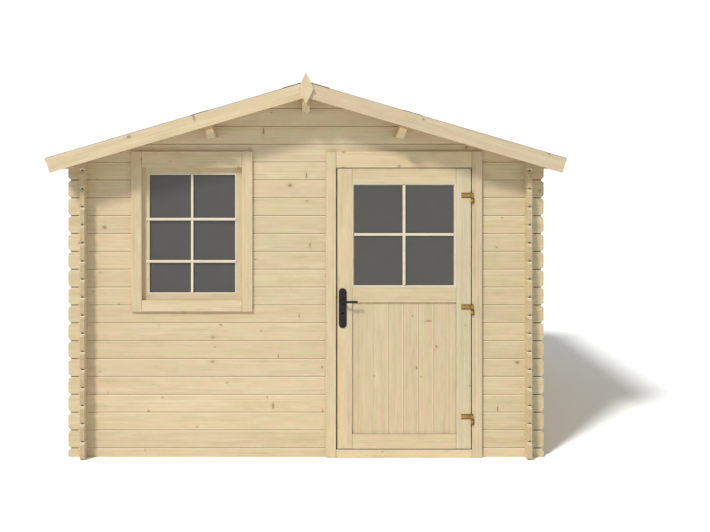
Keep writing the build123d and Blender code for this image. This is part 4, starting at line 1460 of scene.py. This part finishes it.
@dataclass
class Door:
    """The door's frame, leaf, pane, glazing bars, hinges, lock plates and lever.

    Attributes:
        rebate: How far the pane's edges reach into the leaf.
        bar_level: The height of the cross bar.
        bar_width, rail_width: The breadths of the upright bar and the cross bar.
        bar_depth: How far the cross bar lies behind the leaf's face.
        bead_width: The breadth of the bead round the pane.
        bar_light, bar_dark: The colours of the bars' wood.
        panel_pitch: The breadth of the panel's boards.
        panel_joint: How far in from the panel's edge its first joint is.
        lever_standoff, lever_reach: How far the lever stands out and how long its grip is.
        lever_bend: The radius of its bend.
        lever_half: Half its thickness and half its height.
        lever_collar: How much thicker it is at the plate.
        spindle_half: Half the thickness of the square bar between the handles.
        hinge_levels: The heights of the hinges.
        strap_screws, strap_rises: How far along a strap, and how far above its hinge, its screws are.
        plate_drops: How far below its hinge the screws of a plate on the frame are.
        lock_screws: How far above and below the middle the outer and inner lock plates' screws are.
    """

    rebate: float = 0.009
    bar_level: float = 1.3955
    bar_width: float = 0.0175
    rail_width: float = 0.0160
    bar_depth: float = 0.003
    bead_width: float = 0.013
    bar_light: Colour = (0.88, 0.81, 0.63)
    bar_dark: Colour = (0.76, 0.67, 0.47)
    panel_pitch: float = 0.095
    panel_joint: float = 0.045
    ease: float = 0.002
    lever_standoff: float = 0.052
    lever_reach: float = 0.092
    lever_bend: float = 0.014
    lever_half: tuple[float, float] = (0.0050, 0.0075)
    lever_collar: float = 0.6
    spindle_half: float = 0.004
    hinge_levels: tuple[float, ...] = (0.241, 0.9265, 1.624)
    strap_thickness: float = 0.0025
    strap_screws: tuple[float, ...] = (0.010, 0.027, 0.044)
    strap_rises: tuple[float, ...] = (0.0245, 0.0085, 0.0245)
    plate_inset: float = 0.0055
    plate_drops: tuple[float, ...] = (0.008, 0.025)
    hinge_screw_size: float = 0.85
    lock_screws: tuple[float, float] = (0.105, 0.095)
    lock_screw_size: float = 0.9
    # The breadth of the dark line along the edges of the frame and leaf, partly joint and partly painted
    # shade.
    rim_line: float = 0.0016
    tints: dict[str, Colour] = field(default_factory=lambda: {
        "door_panel": (0.905, 0.910, 0.925), "door_right_stile": (0.90, 0.94, 0.98),
        "door_frame_right": (0.90, 0.90, 0.92),
    })
    level_nodes: tuple[str, ...] = ("door_frame_head", "door_sill", "door_top_rail", "door_mid_rail",
                                    "door_bottom_rail")

    def build(self) -> None:
        """Dresses the frame and the leaf, and adds bars, beads, screws and the lever."""
        for number, node in enumerate((
            "door_frame_left", "door_frame_right", "door_frame_head", "door_sill",
            "door_left_stile", "door_right_stile", "door_top_rail", "door_mid_rail", "door_bottom_rail",
        )):
            grain = Grain.LEVEL if node in self.level_nodes else Grain.UPRIGHT
            dress(node, Spruce(f"spruce_{node}", grain, middle_of(node), 111 + number, knots=0.25,
                               rim=rim_of(node, grain), rim_line=self.rim_line,
                               tint=self.tints.get(node, PLAIN)).material())
        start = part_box("door_panel")[0].x + self.panel_joint - self.panel_pitch
        dress("door_panel", Spruce("spruce_door_panel", Grain.UPRIGHT, middle_of("door_panel"), 123,
                                   self.panel_pitch, start, joint=0.003, seam=0.0006, seam_depth=0.5,
                                   tint=self.tints["door_panel"]).material())
        dress("door_glass", shared(Pane()))
        for node, rise in (("door_hinge_straps", BRASS.band_half), ("frame_hinge_plates", -BRASS.band_half)):
            dress(node, replace(BRASS, name=f"yellow_zinc_{node}",
                                bands=tuple(level + rise for level in self.hinge_levels)).material())
        dress("lock_plates", shared(DARK_COAT))
        self.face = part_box("door_left_stile")[0].y
        self._set_bars()
        self._fix_hinges()
        self._fix_lock_plates()
        self._fit_lever()

    def _set_bars(self) -> None:
        """Sets a bead and a cross of bars on either side of the pane.

        The bead's section has a shallow hollow at the leaf's face and slopes in to the pane.
        """
        low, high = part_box("door_glass")
        left, right = low.x + self.rebate, high.x - self.rebate
        foot, top = low.z + self.rebate, high.z - self.rebate
        face, pane, width = self.face, low.y - TOUCH, self.bead_width
        section = np.array([(TOUCH, pane), (TOUCH, face + 0.0015), (0.003, face + 0.0005),
                            (0.006, face + 0.0010), (width - 0.001, pane - 0.005),
                            (width, pane - 0.004), (width, pane)])
        middle = (left + right) / 2
        half, half_rail = self.bar_width / 2, self.rail_width / 2
        front, side_gap = face + self.bar_depth, 0.0001
        cross = [
            mitred_bead((left, foot), (right, top), section),
            eased_bar((left + width + PLAY, front, self.bar_level - half_rail),
                      (middle - half - side_gap, pane, self.bar_level + half_rail), self.ease, 0),
            eased_bar((middle + half + side_gap, front, self.bar_level - half_rail),
                      (right - width - PLAY, pane, self.bar_level + half_rail), self.ease, 0),
            eased_bar((middle - half, front - 0.001, foot + width + PLAY),
                      (middle + half, pane, top - width - PLAY), self.ease, 2),
        ]
        finish = ClearSpruce("spruce_door_bars", Grain.LEVEL, (middle, face, self.bar_level), 127,
                             light=self.bar_light, dark=self.bar_dark)
        make_piece("door_glazing_bars", on_both_sides(cross, "door_glass"), finish.material(),
                   "door")

    def _fix_hinges(self) -> None:
        """Puts three screws in each strap and two in each plate on the frame."""
        strap_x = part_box("door_hinge_straps")[0].x
        plate_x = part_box("frame_hinge_plates")[1].x - self.plate_inset
        y = self.face - self.strap_thickness
        straps = [(strap_x + reach, y, level + rise) for level in self.hinge_levels
                  for reach, rise in zip(self.strap_screws, self.strap_rises)]
        plates = [(plate_x, y, level - drop) for level in self.hinge_levels for drop in self.plate_drops]
        for name, places, body in (("hinge_strap_screws", straps, "door"),
                                   ("hinge_plate_screws", plates, "shed")):
            shape = turned_heads(np.array(places), (0, -1, 0), SCREW_HEAD * self.hinge_screw_size)
            make_piece(name, shape, shared(BRASS), body, smooth=35)

    def _fix_lock_plates(self) -> None:
        """Puts a screw near each end of both lock plates."""
        low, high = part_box("lock_plates")
        x, middle = (low.x + high.x) / 2, (low.z + high.z) / 2
        heads = []
        for face, outward, reach in ((low.y, -1, self.lock_screws[0]), (high.y, 1, self.lock_screws[1])):
            places = np.array([(x, face, middle + rise) for rise in (-reach, reach)])
            heads.append(turned_heads(places, (0, outward, 0), SCREW_HEAD * self.lock_screw_size))
        make_piece("lock_plate_screws", joined(heads), shared(DARK_COAT), "door", smooth=35)

    def _fit_lever(self) -> None:
        """Puts a handle on each side of the leaf, joined by the square spindle."""
        low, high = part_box("door_lever")
        plate_low, plate_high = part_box("lock_plates")
        x, z, half = (plate_low.x + plate_high.x) / 2, (low.z + high.z) / 2, self.spindle_half
        spindle = eased_bar((x - half, plate_low.y + TOUCH, z - half),
                            (x + half, plate_high.y - TOUCH, z + half), 0.0004, 1, 0)
        handles = [self._handle(Vector((x, face, z)), outward)
                   for face, outward in ((plate_low.y, -1.0), (plate_high.y, 1.0))]
        make_piece("lever_handles", joined([*handles, spindle]), shared(DARK_COAT), "lever",
                   ["door_lever"], smooth=50)

    def _handle(self, foot: Vector, outward: float) -> Shape:
        """Shapes one handle.

        The centre line leaves the plate at right angles, turns a quarter circle and runs along the
        door. The section is a rounded square: a point's two offsets are the sine and cosine of its
        angle raised to a power below one, times the half sizes. These grow towards the plate, and
        close quickly over the last few millimetres of the tip.

        Args:
            foot: The middle of the handle on its plate.
            outward: The sign of Y away from the leaf.

        Returns:
            The shape.
        """
        bend, standoff = self.lever_bend, self.lever_standoff
        collar_end, tip_length = 0.003, 0.003
        quarter = np.linspace(0.0, math.pi / 2, 9)[1:]
        rounding = np.linspace(0.0, math.pi / 2, 5)[1:]
        neck = np.concatenate([[0.0004, collar_end, 0.0045], np.linspace(0.009, standoff - bend, 4)])
        grip = np.linspace(bend, self.lever_reach - tip_length, 9)[1:]
        tip = self.lever_reach - tip_length + 0.0029 * np.sin(rounding)
        out = np.concatenate([neck, standoff - bend * (1 - np.sin(quarter)),
                              np.full(len(grip) + len(tip), standoff)])
        across = np.concatenate([np.zeros(len(neck)), bend * (1 - np.cos(quarter)), grip, tip])
        closing = np.concatenate([np.ones(len(out) - len(tip)), 0.45 + 0.55 * np.cos(rounding)])
        collar = 1.0 + self.lever_collar * (1.0 - np.clip((out - collar_end) / 0.0015, 0.0, 1.0))
        flat = (self.lever_half[0] + 0.001 * (1.0 - np.clip(across / bend, 0.0, 1.0))) * closing * collar
        tall = self.lever_half[1] * closing * collar
        tangent = np.stack([np.gradient(across), np.gradient(out)], axis=1)
        tangent /= np.linalg.norm(tangent, axis=1)[:, None]
        sides, squareness = 20, 0.55
        angle = np.arange(sides) * 2 * math.pi / sides
        beside = np.sign(np.cos(angle)) * np.abs(np.cos(angle)) ** squareness
        above = np.sign(np.sin(angle)) * np.abs(np.sin(angle)) ** squareness
        points = np.empty((len(out), sides, 3))
        offset = flat[:, None, None] * tangent[:, None, :] * beside[None, :, None]
        points[..., 0] = foot.x + across[:, None] + offset[..., 1]
        points[..., 1] = foot.y + outward * (out[:, None] - offset[..., 0])
        points[..., 2] = foot.z + tall[:, None] * above[None, :]
        faces = quads(len(out), sides, wrap_columns=True).tolist()
        faces += [list(range(sides))[::-1], [(len(out) - 1) * sides + number for number in range(sides)]]
        if outward > 0:
            faces = [face[::-1] for face in faces]
        return points.reshape(-1, 3), faces


@dataclass
class Studio:
    """The pale floor, the light and the camera.

    Attributes:
        floor_half: Half the breadth of the floor.
        floor_drop: How far it lies under the shed.
        floor_lit: Its colour as it lights the shed.
        floor_level, floor_leaning: The colours of its two shadings as it is seen.
        floor_tilt: How far the second one leans towards the sun.
        sun_angle: How wide the sun is.
        sun_azimuth: How far to the left of the camera it stands.
        sky: The strength of the sky.
    """

    floor_half: float = 150.0
    floor_drop: float = 0.0005
    floor_lit: Colour = (0.97, 0.97, 0.96)
    floor_level: Colour = (0.570, 0.440, 0.315)
    floor_leaning: Colour = (1.120, 1.300, 1.450)
    floor_tilt: float = math.radians(65.0)
    sun_strength: float = 1.98
    sun_angle: float = 0.17
    sun_azimuth: float = math.radians(33.0)
    sun_elevation: float = math.radians(39.0)
    sun_colour: Colour = (1.0, 0.975, 0.945)
    sky: float = 0.39
    sky_colour: Colour = (1.01, 1.07, 1.13)
    camera_place: tuple[float, float, float] = (0.0, -8.32, 1.86)
    lens: float = 55.98
    shift: tuple[float, float] = (0.069, -0.149)

    def build(self) -> None:
        """Makes the floor, the world, the sun and the camera."""
        self._lay_floor()
        self._light()
        self._place_camera()
        bpy.context.scene.view_settings.view_transform = "Standard"

    def _lay_floor(self) -> None:
        """Lays a level floor that shows white and keeps the shadow.

        What is seen of it is the sum of two shadings, one level and one that leans towards the sun.
        The second gets more sun for its share of sky, so that the lit floor is white while its shadow
        is as deep as in strong daylight, and neither tints the shadow's edge.
        """
        graph = Graph(bpy.data.materials.new("studio_floor"))

        def matt(colour: Colour, **settings: Any) -> bpy.types.NodeSocket:
            """A matt shading of one colour."""
            return graph.node("ShaderNodeBsdfDiffuse", {}, {"Color": colour, **settings}).outputs[0]

        sideways = math.sin(self.floor_tilt)
        leaning = graph.vector(-math.sin(self.sun_azimuth) * sideways,
                               -math.cos(self.sun_azimuth) * sideways, math.cos(self.floor_tilt))
        shown = graph.node("ShaderNodeAddShader", {},
                           {0: matt(self.floor_level), 1: matt(self.floor_leaning, Normal=leaning)})
        both = graph.node("ShaderNodeMixShader", {},
                          {0: graph.seen(), 1: matt(self.floor_lit), 2: shown.outputs[0]})
        graph.node("ShaderNodeOutputMaterial", {}, {"Surface": both.outputs[0]})
        mesh = bpy.data.meshes.new("studio_floor")
        corners = [(x * self.floor_half, y * self.floor_half, -self.floor_drop)
                   for x, y in ((-1, -1), (1, -1), (1, 1), (-1, 1))]
        mesh.from_pydata(corners, [], [(0, 1, 2, 3)])
        mesh.materials.append(graph.owner)
        put("studio_floor", mesh)

    def _light(self) -> None:
        """Sets the sky and the sun."""
        graph = Graph(bpy.data.worlds.new("studio"))
        bpy.context.scene.world = graph.owner
        seen = graph.seen()
        sky = graph.node("ShaderNodeBackground", {}, {"Color": graph.mix(seen, self.sky_colour, PLAIN),
                                                      "Strength": seen * (1.0 - self.sky) + self.sky})
        graph.node("ShaderNodeOutputWorld", {}, {"Surface": sky.outputs[0]})
        lamp = bpy.data.lights.new("sun", "SUN")
        lamp.energy = self.sun_strength
        lamp.color = self.sun_colour
        lamp.angle = self.sun_angle
        put("sun", lamp).rotation_euler = (math.pi / 2 - self.sun_elevation, 0.0, -self.sun_azimuth)

    def _place_camera(self) -> None:
        """Stands a level camera in front of the shed."""
        data = bpy.data.cameras.new("camera")
        data.lens = self.lens
        data.sensor_width = 36.0
        data.shift_x, data.shift_y = self.shift
        data.clip_end = 500.0
        camera = put("camera", data)
        camera.location = self.camera_place
        camera.rotation_euler = (math.pi / 2, 0.0, 0.0)
        bpy.context.scene.camera = camera


def main() -> None:
    """Builds the shed's finishes and parts in order."""
    logging.basicConfig(level=logging.INFO, format="%(name)s: %(message)s")
    for assembly in (Studio(), LogWalls(), Roof(), Window(), Door()):
        assembly.build()


if __name__ == "__main__":
    main()
